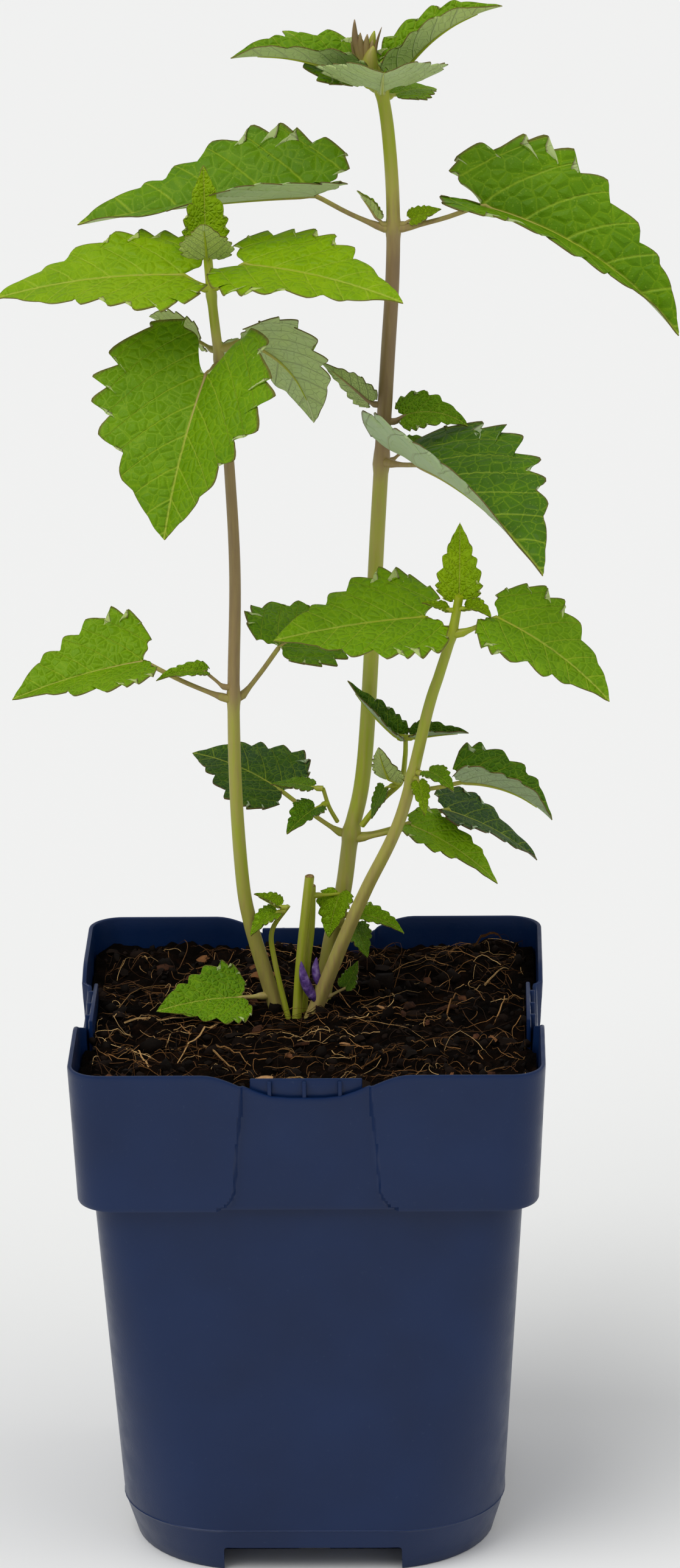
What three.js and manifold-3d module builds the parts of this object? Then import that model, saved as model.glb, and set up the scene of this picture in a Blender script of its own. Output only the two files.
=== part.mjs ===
// A young anise hyssop growing in a square nursery pot.
// Millimetres, +Z up. The origin is the middle of the pot's underside, +X is the right
// of the pot as it faces the viewer, and +Y points away from the viewer.

import * as THREE from 'three';
import { mergeVertices } from 'three/addons/utils/BufferGeometryUtils.js';
import Module from 'manifold-3d';

const wasm = await Module();
wasm.setup();

// ---- Driving dimensions ---------------------------------------------------------------

const GAP = 0.35; // air between neighbouring pieces

const POT = {
  wall: 1.1,
  floorUnderside: 6.5,
  collarFoot: 96.4, // where the wide collar starts
  rim: 129.5,
  cornerSteps: 5, // straight pieces in a rounded corner
};

// Outer half width and corner radius of the tapered body, from the feet up.
const BODY_SECTIONS = [
  { z: 0, half: 42.6, corner: 28 },
  { z: 11.3, half: 45.3, corner: 26 },
  { z: 54, half: 47.5, corner: 16 },
  { z: 96.4, half: 49.8, corner: 8 },
];
const COLLAR_SECTIONS = [
  { z: 95.3, half: 53.4, corner: 9 },
  { z: 129.5, half: 55, corner: 8 },
];

const LABEL_PANEL = { halfWidth: 15.5, depth: 1.4 }; // set back in the middle of each side
const RIM_DIP = { halfTop: 20, halfBottom: 13, depth: 6 };
const FOOT_GATE = { halfWidth: 21, height: 6.5, depth: 13 }; // opening under each side wall
const FOOT_BLOCK = { inner: 3.5, outer: 29.5 }; // the four square feet between the channels
const CENTRE_PAD = { radius: 8 };
const DRAIN_HOLE = { radius: 2.6, fromCentre: 19 };

const MIX = { level: 121.3, corner: 7, dip: 0.9, crown: [-2, 11] };
const CLEAR = 70; // well outside the pot

// ---- Geometry helpers -----------------------------------------------------------------

const radians = THREE.MathUtils.degToRad;

function vectorsToGeometry(points, triangles) {
  const geometry = new THREE.BufferGeometry();
  geometry.setAttribute('position', new THREE.Float32BufferAttribute(points.flatMap((p) => p.toArray()), 3));
  geometry.setIndex(triangles.flat());
  return geometry;
}

function signedVolume(points, triangles) {
  const cross = new THREE.Vector3();
  return triangles.reduce((sum, [a, b, c]) => {
    return sum + cross.crossVectors(points[b], points[c]).dot(points[a]) / 6;
  }, 0);
}

// A closed skin over a stack of equal rings, with a fan on each end.
function loft(rings) {
  const size = rings[0].length;
  const points = rings.flat();
  const triangles = [];
  for (let r = 0; r + 1 < rings.length; r++) {
    for (let i = 0; i < size; i++) {
      const a = r * size + i;
      const b = r * size + ((i + 1) % size);
      triangles.push([a, b, b + size], [a, b + size, a + size]);
    }
  }
  const last = (rings.length - 1) * size;
  for (let i = 1; i + 1 < size; i++) {
    triangles.push([0, i + 1, i], [last, last + i, last + i + 1]);
  }
  if (signedVolume(points, triangles) < 0) triangles.forEach((t) => t.reverse());
  return vectorsToGeometry(points, triangles);
}

function toSolid(geometry) {
  const bare = geometry.clone();
  bare.deleteAttribute('normal');
  bare.deleteAttribute('uv');
  const merged = mergeVertices(bare);
  return new wasm.Manifold(new wasm.Mesh({
    numProp: 3,
    vertProperties: new Float32Array(merged.attributes.position.array),
    triVerts: new Uint32Array(merged.index.array),
  }));
}

function toGeometry(solid) {
  const mesh = solid.getMesh();
  const geometry = new THREE.BufferGeometry();
  geometry.setAttribute('position', new THREE.Float32BufferAttribute(mesh.vertProperties, 3));
  geometry.setIndex(Array.from(mesh.triVerts));
  return geometry;
}

function box(low, high) {
  const size = high.map((v, i) => v - low[i]);
  const geometry = new THREE.BoxGeometry(...size);
  return toSolid(geometry.translate(...low.map((v, i) => v + size[i] / 2)));
}

function disc(x, y, z0, z1, radius) {
  const geometry = new THREE.CylinderGeometry(radius, radius, z1 - z0, 20);
  return toSolid(geometry.rotateX(Math.PI / 2).translate(x, y, (z0 + z1) / 2));
}

// Repeats a solid on the four sides of the pot.
function onFourSides(solid) {
  return [90, 180, 270].reduce((all, turn) => all.add(solid.rotate([0, 0, turn])), solid);
}

// ---- Pot ------------------------------------------------------------------------------

function roundedSquare(half, corner, z) {
  const ring = [];
  const straight = half - corner;
  for (let quarter = 0; quarter < 4; quarter++) {
    const turn = quarter * Math.PI / 2;
    const middle = new THREE.Vector2(straight, straight).rotateAround(new THREE.Vector2(), turn);
    for (let i = 0; i <= POT.cornerSteps; i++) {
      const angle = turn + (i / POT.cornerSteps) * Math.PI / 2;
      const x = middle.x + corner * Math.cos(angle);
      const y = middle.y + corner * Math.sin(angle);
      ring.push(new THREE.Vector3(x, y, z));
    }
  }
  return ring;
}

function squareLoft(sections, inset = 0) {
  return toSolid(loft(sections.map((s) => roundedSquare(s.half - inset, s.corner - inset, s.z))));
}

// The section between two given ones, or beyond the last.
function sectionAt(sections, z) {
  const above = Math.max(1, sections.findIndex((s) => s.z >= z));
  const [low, high] = [sections[above - 1], sections[above]];
  const f = (z - low.z) / (high.z - low.z);
  return {
    z,
    half: THREE.MathUtils.lerp(low.half, high.half, f),
    corner: THREE.MathUtils.lerp(low.corner, high.corner, f),
  };
}

// A loft between two polygons given as flat points at two places along an axis.
function prism(outline, place, [from, to]) {
  return toSolid(loft([from, to].map((at) => outline(at).map(([a, b]) => place(a, b, at)))));
}

// The space outside the leaning collar wall, in the middle of the front side.
function panelSpace(halfWidth, inset) {
  const outline = (z) => {
    const face = inset - sectionAt(COLLAR_SECTIONS, z).half;
    return [[-halfWidth, -CLEAR], [halfWidth, -CLEAR], [halfWidth, face], [-halfWidth, face]];
  };
  return prism(outline, (x, y, z) => new THREE.Vector3(x, y, z), [POT.collarFoot - 5, POT.rim + 5]);
}

function rimDip() {
  const { halfTop, halfBottom, depth } = RIM_DIP;
  const [top, bottom] = [POT.rim + 1, POT.rim - depth];
  const outline = () => [[-halfTop, top], [halfTop, top], [halfBottom, bottom], [-halfBottom, bottom]];
  return prism(outline, (x, z, y) => new THREE.Vector3(x, y, z), [-CLEAR, -0.8 * COLLAR_SECTIONS[1].half]);
}

function potCavity() {
  const floor = POT.floorUnderside + POT.wall;
  const ledge = POT.collarFoot + POT.wall;
  const [, lowBody, midBody, topBody] = BODY_SECTIONS;
  const lower = squareLoft(
    [sectionAt(BODY_SECTIONS, floor), lowBody, midBody, { ...topBody, z: ledge + 0.1 }],
    POT.wall,
  );
  const aboveRim = { ...COLLAR_SECTIONS[1], z: POT.rim + 2 };
  const upper = squareLoft(
    [sectionAt(COLLAR_SECTIONS, ledge), COLLAR_SECTIONS[1], aboveRim],
    POT.wall,
  );
  const backedPanel = panelSpace(LABEL_PANEL.halfWidth + POT.wall, LABEL_PANEL.depth + POT.wall);
  return lower.add(upper.subtract(onFourSides(backedPanel)));
}

// The low square feet are pockets of the floor, open to the inside of the pot.
function footBlocks(inset) {
  const near = FOOT_BLOCK.inner + inset;
  const far = FOOT_BLOCK.outer - inset;
  const top = POT.floorUnderside + POT.wall + 0.5;
  return onFourSides(box([near, near, inset], [far, far, top]));
}

function potUnderside() {
  const foot = { ...BODY_SECTIONS[0], z: -1 };
  const inside = squareLoft([foot, sectionAt(BODY_SECTIONS, POT.floorUnderside)], POT.wall);
  const { halfWidth, height, depth } = FOOT_GATE;
  const gate = box([-halfWidth, -CLEAR, -1], [halfWidth, depth - BODY_SECTIONS[0].half, height]);
  const pad = disc(0, 0, -2, POT.floorUnderside + POT.wall, CENTRE_PAD.radius);
  return inside.subtract(footBlocks(0)).subtract(pad).add(onFourSides(gate));
}

function makePot() {
  const outside = squareLoft(BODY_SECTIONS).add(squareLoft(COLLAR_SECTIONS));
  const floorTop = POT.floorUnderside + POT.wall;
  const floor = squareLoft([POT.floorUnderside, floorTop].map((z) => sectionAt(BODY_SECTIONS, z)));
  const drains = onFourSides(disc(0, DRAIN_HOLE.fromCentre, -2, floorTop + 2, DRAIN_HOLE.radius));
  const cavity = potCavity().subtract(disc(0, 0, 0, floorTop, CENTRE_PAD.radius));
  return outside
    .subtract(onFourSides(panelSpace(LABEL_PANEL.halfWidth, LABEL_PANEL.depth)))
    .subtract(onFourSides(rimDip()))
    .subtract(potUnderside())
    .add(floor)
    .subtract(cavity)
    .subtract(footBlocks(POT.wall))
    .subtract(drains);
}

// ---- Potting mix ----------------------------------------------------------------------

// The top rolls a little, and dips round the crown of the plant.
function mixHeight(x, y) {
  const [cx, cy] = MIX.crown;
  const dip = MIX.dip * Math.exp(-((x - cx) ** 2 + (y - cy) ** 2) / 200);
  const rolling = 0.4 * Math.sin(x / 7 + 1) * Math.cos(y / 9) + 0.25 * Math.sin(x / 3.7 - y / 5.1);
  return MIX.level + 0.012 * y - dip + rolling;
}

function makeMix() {
  const clear = POT.wall + GAP;
  const ledge = POT.collarFoot + clear;
  const [, lowBody, midBody, topBody] = BODY_SECTIONS;
  const bottom = sectionAt(BODY_SECTIONS, POT.floorUnderside + clear);
  const below = [bottom, lowBody, midBody, topBody, { ...topBody, z: ledge }];
  const rings = below.map((s) => roundedSquare(s.half - clear, s.corner - clear, s.z));
  const half = COLLAR_SECTIONS[0].half - clear - LABEL_PANEL.depth;
  rings.push(roundedSquare(half, MIX.corner, ledge + 0.1));
  for (const scale of [1, 0.82, 0.64, 0.46, 0.28, 0.1]) {
    const ring = roundedSquare(half * scale, MIX.corner * scale, 0);
    rings.push(ring.map((p) => p.setZ(mixHeight(p.x, p.y))));
  }
  return toGeometry(toSolid(loft(rings)));
}

// ---- Stems ----------------------------------------------------------------------------

// Middle line from the mix up, and the half thickness at the foot and at the tip.
const STEMS = {
  tall_stem: {
    thick: [1.95, 1.35],
    points: [
      [2, 17, 122], [4.7, 18, 136.5], [7.6, 18.5, 149], [9.6, 19, 163],
      [13.1, 19.5, 182.5], [16.6, 20.5, 239], [19.1, 21.5, 277], [20.5, 22, 298.5],
      [20.7, 22, 316], [19.7, 22, 332.5], [18, 22, 343],
    ],
  },
  left_stem: {
    thick: [1.75, 0.95],
    points: [
      [-8, 11, 121.7], [-12, 10.5, 134.5], [-14.5, 10, 144.5], [-16, 9.5, 154.5],
      [-17.2, 9, 176], [-17.4, 8.5, 200], [-16.6, 8, 229.5], [-17.3, 7.5, 253],
      [-18.7, 7, 275], [-20.7, 6.5, 295.5], [-21.8, 6, 309],
    ],
  },
  right_stem: {
    thick: [1.7, 0.95],
    points: [
      [-0.3, 7, 121.7], [4.9, 6, 133.5], [8.8, 5, 143.5], [13.5, 4, 154.5], [21.7, 2, 173],
      [28.2, -1, 200], [30.9, -2, 209], [33.9, -3, 219.3], [35.6, -4, 227.5],
    ],
  },
  cut_stub_front: {
    thick: [1.05, 1.05],
    points: [[-3.6, 8, 121.7], [-2.7, 8, 133], [-1.4, 8, 145], [-0.1, 8, 156]],
  },
  cut_stub_back: {
    thick: [0.9, 0.8],
    points: [[-2.1, 11.2, 121.7], [-1.2, 11.2, 132], [0, 11.2, 142], [0.4, 11.2, 152.5]],
  },
  side_shoot: {
    thick: [0.7, 0.5],
    points: [[12.2, 17.2, 165.5], [17, 15, 172.5], [21.5, 12.5, 178], [22.6, 12, 184], [22.8, 12, 189]],
  },
  low_left_shoot: {
    thick: [0.5, 0.45],
    points: [[6.4, 17.2, 166.5], [4.5, 15, 171], [3.2, 13.5, 176]],
  },
  basal_shoot: {
    thick: [0.65, 0.5],
    points: [[-5.6, 8.6, 121.7], [-8.6, 9, 134], [-9.2, 8.8, 142], [-5.2, 8.6, 148.5]],
  },
};

const STEM_SIDES = 8;

function curveOf(stem) {
  const points = stem.points.map((p) => new THREE.Vector3(...p));
  return new THREE.CatmullRomCurve3(points, false, 'catmullrom', 0.5);
}

// The curve parameter where a stem reaches a height.
function reach(curve, height) {
  let [low, high] = [0, 1];
  for (let i = 0; i < 30; i++) {
    const middle = (low + high) / 2;
    if (curve.getPoint(middle).z < height) low = middle;
    else high = middle;
  }
  return (low + high) / 2;
}

function thicknessAt(stem, t) {
  return THREE.MathUtils.lerp(stem.thick[0], stem.thick[1], t);
}

// Stems stand nearly upright, so each crossing is a level ring round the middle line.
function makeStem(stem) {
  const curve = curveOf(stem);
  const steps = 2 * (stem.points.length - 1);
  const rings = [];
  for (let k = 0; k <= steps; k++) {
    const at = curve.getPoint(k / steps);
    const radius = thicknessAt(stem, k / steps);
    const ring = [];
    for (let i = 0; i < STEM_SIDES; i++) {
      const angle = (i + 0.5) * 2 * Math.PI / STEM_SIDES;
      ring.push(new THREE.Vector3(radius * Math.cos(angle), radius * Math.sin(angle), 0).add(at));
    }
    rings.push(ring);
  }
  return loft(rings);
}

// ---- Leaves ---------------------------------------------------------------------------

// Half outline of a blade: distance along the midrib over the length, and distance from it
// over half the width. The base is heart shaped, so its lobes reach behind the stalk.
const OUTLINE = [[0, 0.05], [-0.09, 0.3], [-0.08, 0.66], [0.02, 0.94], [0.15, 1], [0.34, 0.89],
  [0.55, 0.65], [0.75, 0.38], [0.9, 0.16], [1, 0.02]].map(([x, y]) => new THREE.Vector3(x, y, 0));
const outlineCurve = new THREE.CatmullRomCurve3(OUTLINE, false, 'catmullrom', 0.5);

// Half thicknesses of the blade and the stalk, and the least half width of a blade's ends.
const BLADE = { edge: 0.2, middle: 0.32, stalk: 0.55, least: 0.15, toothDepth: 0.16 };

// height is where the stalk leaves the stem, and heading the way it points seen from above,
// counted from +X. rise is the stalk's slope, and pitch the blade's slope from base to tip.
// roll and twist turn the blade about its midrib, fold lifts its halves, curl bends them on,
// and ease flattens the fold towards the tip. A pair is for the left and the right half.
// lobe is how far the base reaches back.
const LEAVES = [
  // The rosette under the flower bud, on top of the tall stem.
  { name: 'rosette_left', stem: 'tall_stem', height: 343, heading: 180, stalk: 2.5, rise: 30,
    length: 31, width: 20, pitch: [30, -8], roll: 5, fold: 42, lobe: 0 },
  { name: 'rosette_right', stem: 'tall_stem', height: 343, heading: 0, stalk: 2.5, rise: 55,
    length: 30, width: 18, pitch: [58, 12], roll: -5, fold: 48, lobe: 0 },
  { name: 'rosette_front', stem: 'tall_stem', height: 342, heading: 272, stalk: 2, rise: 20,
    length: 28, width: 31, pitch: [31, 12], fold: 4, curl: 26, lobe: 0 },
  { name: 'rosette_back', stem: 'tall_stem', height: 342, heading: 135, stalk: 2, rise: 25,
    length: 30, width: 26, pitch: [25, 8], lobe: 0 },
  { name: 'rosette_side', stem: 'tall_stem', height: 340, heading: 50, stalk: 2, rise: 10,
    length: 15, width: 15, pitch: [5, -15], roll: -10, lobe: 0 },
  // The tall stem's big upper pair, with a young leaf in each axil.
  { name: 'tall_left_leaf', stem: 'tall_stem', height: 309.5, heading: 176, stalk: 17.5, rise: 30,
    length: 56, width: 38, pitch: [-3, -12], roll: 8, twist: 6, fold: [34, 42], ease: 0.5, lobe: 1.6 },
  { name: 'tall_right_leaf', stem: 'tall_stem', height: 309.5, heading: 0, stalk: 18.6, rise: 19,
    length: 56, width: 38, pitch: [-12, -52], roll: -28, fold: 37, turnAtBlade: -10, lobe: 1.8 },
  { name: 'tall_left_bud_leaf', stem: 'tall_stem', height: 310.5, heading: 185, stalk: 2, rise: 60,
    length: 8, width: 5, pitch: [60, 50], fold: 45, lobe: 0 },
  { name: 'tall_right_bud_leaf', stem: 'tall_stem', height: 310.5, heading: -5, stalk: 2, rise: 40,
    length: 7.5, width: 6, pitch: [25, 15], roll: -35, fold: 10, lobe: 0 },
  // The tip of the left stem.
  { name: 'left_tip_leaf', stem: 'left_stem', height: 309, heading: 100, stalk: 0.5, rise: 80,
    length: 18, width: 11, pitch: [84, 88], fold: 10 },
  { name: 'left_tip_front_leaf', stem: 'left_stem', height: 307, heading: 268, stalk: 0.5, rise: 50,
    length: 14, width: 12.6, pitch: [55, 38], lobe: 0 },
  // The left stem's bright upper pair.
  { name: 'left_upper_left_leaf', stem: 'left_stem', height: 299.5, heading: 180, stalk: 5.5, rise: 42,
    length: 44, width: 34, pitch: [2, -16], roll: 19, lobe: 1.4 },
  { name: 'left_upper_right_leaf', stem: 'left_stem', height: 300, heading: -8, stalk: 8, rise: 50,
    length: 42, width: 34, pitch: [2, -14], roll: -14, turnAtBlade: -20, lobe: 1.4 },
  // The left stem's second pair and a leaf behind it.
  { name: 'left_front_leaf', stem: 'left_stem', height: 281, heading: 248, stalk: 6, rise: 0,
    length: 40, width: 50, pitch: [-50, -72], fold: 18, turnAtBlade: -8, lobe: 3 },
  { name: 'left_back_left_leaf', stem: 'left_stem', height: 284.5, heading: 140, stalk: 4, rise: 25,
    length: 16, width: 15, pitch: [25, 0], roll: -50 },
  { name: 'left_back_right_leaf', stem: 'left_stem', height: 285, heading: 25, stalk: 4, rise: 25,
    length: 30, width: 32, pitch: [-20, -80], roll: 30 },
  // Small leaves in the middle of the tall stem.
  { name: 'tall_mid_left_leaf', stem: 'tall_stem', height: 267.5, heading: 170, stalk: 1.5, rise: 40,
    length: 14, width: 9, pitch: [42, 35], roll: -60, lobe: 0 },
  { name: 'tall_mid_right_leaf', stem: 'tall_stem', height: 263.5, heading: 0, stalk: 2.5, rise: 40,
    length: 16, width: 12, pitch: [20, -40], roll: -35, fold: 8 },
  // The tall stem's second pair: the big one hangs forward, the other is small.
  { name: 'tall_front_leaf', stem: 'tall_stem', height: 254, heading: 312, stalk: 10, rise: 12,
    length: 52, width: 46, pitch: [-2, -32],
    roll: -10, fold: [8, 44], curl: [0, 24], turnAtBlade: -6, lobe: 2.2 },
  { name: 'tall_small_leaf', stem: 'tall_stem', height: 254, heading: 20, stalk: 4, rise: 40,
    length: 9, width: 8, pitch: [20, 0], roll: -20, lobe: 0 },
  // The left stem's lowest pair on long stalks, and a young leaf in the left axil.
  { name: 'left_low_left_leaf', stem: 'left_stem', height: 200.2, heading: 180, stalk: 21, rise: 30,
    length: 32, width: 30, pitch: [-8, -22], roll: 24, fold: 20, turnAtBlade: 6 },
  { name: 'left_low_right_leaf', stem: 'left_stem', height: 200.2, heading: 35, stalk: 15, rise: 50,
    length: 30, width: 28, pitch: [10, -15], roll: -20, turnAtBlade: 12 },
  { name: 'left_low_bud_leaf', stem: 'left_stem', height: 203, heading: 190, stalk: 6, rise: 50,
    length: 12, width: 6, pitch: [10, -25], roll: 20, fold: 15, lobe: 0 },
  // The tip of the right stem.
  { name: 'right_tip_leaf', stem: 'right_stem', height: 227.5, heading: 85, stalk: 0.5, rise: 80,
    length: 17, width: 11, pitch: [78, 85], fold: 8 },
  { name: 'right_tip_left_leaf', stem: 'right_stem', height: 225, heading: 180, stalk: 0.5, rise: 20,
    length: 6, width: 4, pitch: [25, 10], roll: 20, fold: 20, lobe: 0 },
  { name: 'right_tip_right_leaf', stem: 'right_stem', height: 225.5, heading: -25, stalk: 0.5, rise: 20,
    length: 7, width: 6, pitch: [25, -50], roll: -20, fold: 25, lobe: 0 },
  // The right stem's upper pair.
  { name: 'right_upper_left_leaf', stem: 'right_stem', height: 219.3, heading: 180, stalk: 6, rise: 50,
    length: 36, width: 33, pitch: [0, -10], roll: 23, turnAtBlade: 13, lobe: 1.4 },
  { name: 'right_upper_right_leaf', stem: 'right_stem', height: 219.3, heading: -5, stalk: 9.5, rise: 30,
    length: 33, width: 26, pitch: [-20, -45], roll: -25, fold: 10, turnAtBlade: -15 },
  // The right stem's lower leaves.
  { name: 'right_low_right_leaf', stem: 'right_stem', height: 179.5, heading: 0, stalk: 10.5, rise: 14,
    length: 24, width: 20, pitch: [0, -48], roll: -5, fold: 45 },
  { name: 'right_low_small_leaf', stem: 'right_stem', height: 184.5, heading: -45, stalk: 3, rise: 25,
    length: 9, width: 7, pitch: [0, -40], roll: -10, fold: 10, lobe: 0 },
  { name: 'right_low_pale_leaf', stem: 'right_stem', height: 183, heading: -60, stalk: 1, rise: -30,
    length: 8, width: 5, pitch: [-60, -75], lobe: 0 },
  // The tall stem's lowest pair and the shoots in its axils.
  { name: 'tall_low_left_leaf', stem: 'tall_stem', height: 163, heading: 165, stalk: 17, rise: 38,
    length: 26, width: 27, pitch: [25, 0], roll: 15, turnAtBlade: -15 },
  { name: 'tall_low_light_leaf', stem: 'tall_stem', height: 162, heading: -14, stalk: 13, rise: 22,
    length: 25, width: 17, pitch: [-18, -45], roll: -10, fold: 10 },
  { name: 'tall_low_right_leaf', stem: 'tall_stem', height: 162, heading: 12, stalk: 21, rise: 17,
    length: 27, width: 22, pitch: [-20, -45], roll: -10, fold: 10 },
  { name: 'low_left_shoot_back_leaf', stem: 'low_left_shoot',
    height: 176, heading: 170, stalk: 1.5, rise: 20,
    length: 10, width: 8, pitch: [10, -10], roll: 5, lobe: 0 },
  { name: 'low_left_shoot_front_leaf', stem: 'low_left_shoot', height: 172, heading: 230, stalk: 3, rise: 0,
    length: 11, width: 9, pitch: [-10, -30], roll: 10, fold: 20, lobe: 0 },
  { name: 'side_shoot_left_leaf', stem: 'side_shoot', height: 189, heading: 178, stalk: 0.5, rise: 45,
    length: 18, width: 9, pitch: [40, 60], roll: 20, fold: 40 },
  { name: 'side_shoot_right_leaf', stem: 'side_shoot', height: 189, heading: 0, stalk: 0.5, rise: 20,
    length: 13, width: 8, pitch: [10, 0], roll: -10, fold: 40, lobe: 0 },
  { name: 'side_shoot_low_left_leaf', stem: 'side_shoot', height: 178, heading: 230, stalk: 3, rise: 40,
    length: 9.5, width: 10, pitch: [60, 75], lobe: 0 },
  { name: 'side_shoot_low_right_leaf', stem: 'side_shoot', height: 177, heading: 200, stalk: 2, rise: -10,
    length: 8, width: 8, pitch: [-60, -70], lobe: 0 },
  // Young leaves round the foot of the plant.
  { name: 'basal_top_leaf', stem: 'basal_shoot', height: 148, heading: 174, stalk: 0.6, rise: 25,
    length: 6.6, width: 7, pitch: [30, 25], roll: 5, fold: 25, lobe: 0 },
  { name: 'basal_left_leaf', stem: 'basal_shoot', height: 147, heading: 205, stalk: 0.6, rise: 0,
    length: 8.5, width: 7.5, pitch: [-15, -55], roll: 10, fold: 15, lobe: 0 },
  { name: 'centre_front_leaf', stem: 'cut_stub_back', height: 150, heading: 15, stalk: 5, rise: 0,
    length: 11, width: 10, pitch: [-50, -72], fold: 15, turnAtBlade: 225, lobe: 0 },
  { name: 'centre_right_leaf', stem: 'tall_stem', height: 143, heading: -25, stalk: 3, rise: 20,
    length: 12.5, width: 7, pitch: [0, -30], roll: -20, fold: 20, lobe: 0 },
  { name: 'centre_droop_leaf', stem: 'tall_stem', height: 140, heading: -30, stalk: 3, rise: 15,
    length: 8, width: 10, pitch: [-55, -75], lobe: 0 },
  { name: 'round_foot_leaf', stem: 'right_stem', height: 126, heading: 30, stalk: 4.5, rise: 20,
    length: 7, width: 8, pitch: [50, 70], lobe: 0 },
  { name: 'soil_leaf', stem: 'left_stem', height: 125.2, heading: 197, stalk: 5, rise: 5,
    length: 21, width: 20, pitch: [5, -12], roll: 30, fold: 10 },
];

const STALK_SAG = 0.87; // a stalk's own weight takes this share of its rise

// A leaf's midrib runs up its stalk and bends into the blade.
class Midrib {
  constructor(leaf) {
    const stem = STEMS[leaf.stem];
    const curve = curveOf(stem);
    const t = reach(curve, leaf.height);
    this.leaf = { roll: 0, twist: 0, fold: 5, curl: 0, ease: 0, turnAtBlade: 0, lobe: 1, ...leaf };
    this.start = curve.getPoint(t);
    const out = thicknessAt(stem, t) + GAP + BLADE.stalk;
    this.start.addScaledVector(this.direction(leaf.heading, 0), out);
    this.stalkAlong = this.direction(leaf.heading, STALK_SAG * leaf.rise);
    this.joint = this.start.clone().addScaledVector(this.stalkAlong, leaf.stalk);
  }

  direction(heading, pitch) {
    const [h, p] = [radians(heading), radians(pitch)];
    return new THREE.Vector3(Math.cos(h) * Math.cos(p), Math.sin(h) * Math.cos(p), Math.sin(p));
  }

  // The place and the axes of the blade at x, the distance along it over its length.
  bladeAt(x) {
    const { leaf } = this;
    const inside = THREE.MathUtils.clamp(x, 0, 1);
    const heading = leaf.heading + leaf.turnAtBlade;
    const directionAt = (f) => this.direction(heading, THREE.MathUtils.lerp(...leaf.pitch, f));
    const place = this.joint.clone();
    const steps = 8;
    for (let i = 0; i < steps; i++) {
      const step = leaf.length * inside / steps;
      place.addScaledVector(directionAt(inside * (i + 0.5) / steps), step);
    }
    const along = directionAt(inside);
    place.addScaledVector(along, leaf.length * (x - inside));
    const side = new THREE.Vector3(Math.sin(radians(heading)), -Math.cos(radians(heading)), 0);
    const turn = radians(leaf.roll + leaf.twist * inside);
    side.applyAxisAngle(along, -turn);
    return { place, side, up: new THREE.Vector3().crossVectors(side, along) };
  }
}

const SMALL_LEAF = 16; // a leaf shorter than this has a plain base, a thin stalk and no teeth

function stalkRing(midrib, f) {
  const { leaf } = midrib;
  const along = midrib.stalkAlong;
  const side = new THREE.Vector3(Math.sin(radians(leaf.heading)), -Math.cos(radians(leaf.heading)), 0);
  const up = new THREE.Vector3().crossVectors(side, along);
  const centre = midrib.start.clone().lerp(midrib.joint, f);
  const radius = BLADE.stalk * (leaf.length < SMALL_LEAF ? 0.7 : 1);
  return [150, 90, 30, -30, -90, -150].map((angle) => centre.clone()
    .addScaledVector(side, radius * Math.cos(radians(angle)))
    .addScaledVector(up, radius * Math.sin(radians(angle))));
}

// The left and right edges of one crossing of the blade, above and below its midrib.
function bladeRing(midrib, t, isNotch) {
  const { leaf } = midrib;
  const margin = outlineCurve.getPoint(t);
  const x = margin.x < 0 ? margin.x * leaf.lobe : margin.x + (isNotch ? 0 : 0.03 * t);
  const reachOut = Math.max(BLADE.least, (leaf.width / 2) * margin.y * (isNotch ? 1 - BLADE.toothDepth : 1));
  const thin = THREE.MathUtils.clamp(leaf.width / 12, 0.6, 1);
  const edge = midrib.bladeAt(x);
  const middle = midrib.bladeAt(t ** 1.15);
  const edgePoint = (half, height) => {
    const bend = [leaf.fold].flat().at(half) + [leaf.curl].flat().at(half) / 2;
    const angle = radians(bend * (1 - leaf.ease * THREE.MathUtils.clamp(x, 0, 1)));
    return edge.place.clone()
      .addScaledVector(edge.side, (half === 0 ? -1 : 1) * reachOut * Math.cos(angle))
      .addScaledVector(edge.up, reachOut * Math.sin(angle) + height * thin);
  };
  const middlePoint = (height) => middle.place.clone().addScaledVector(middle.up, height * thin);
  return [
    edgePoint(0, BLADE.edge),
    middlePoint(BLADE.middle),
    edgePoint(-1, BLADE.edge),
    edgePoint(-1, -BLADE.edge),
    middlePoint(-BLADE.middle),
    edgePoint(0, -BLADE.edge),
  ];
}

function makeLeaf(leaf) {
  const midrib = new Midrib(leaf);
  const isSmall = leaf.length < SMALL_LEAF;
  const rings = [stalkRing(midrib, 0)];
  if (leaf.stalk > 4) rings.push(stalkRing(midrib, 0.5), stalkRing(midrib, 0.92));
  const crossings = isSmall ? 5 : 12;
  for (let k = 0; k <= crossings; k++) {
    const isNotch = !isSmall && k % 2 === 0 && k > 0 && k < crossings;
    rings.push(bladeRing(midrib, k / crossings, isNotch));
  }
  return loft(rings);
}

// ---- Flower bud and dropped petals ----------------------------------------------------

const BUD = { foot: [17.3, 22, 344.3], tip: [14.3, 22.5, 356.5], thick: [0.8, 2.1, 2.4, 1.7, 0.5] };
const PETALS = [
  { name: 'petal_left', foot: [-0.8, 3.8, 124.6], tip: [-2.6, 4.4, 134.6], thick: [0.4, 0.8, 1, 0.8, 0.4] },
  { name: 'petal_right', foot: [3, 9.8, 126.6], tip: [1.6, 9.6, 135.8], thick: [0.4, 0.7, 0.9, 0.8, 0.4] },
];

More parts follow.
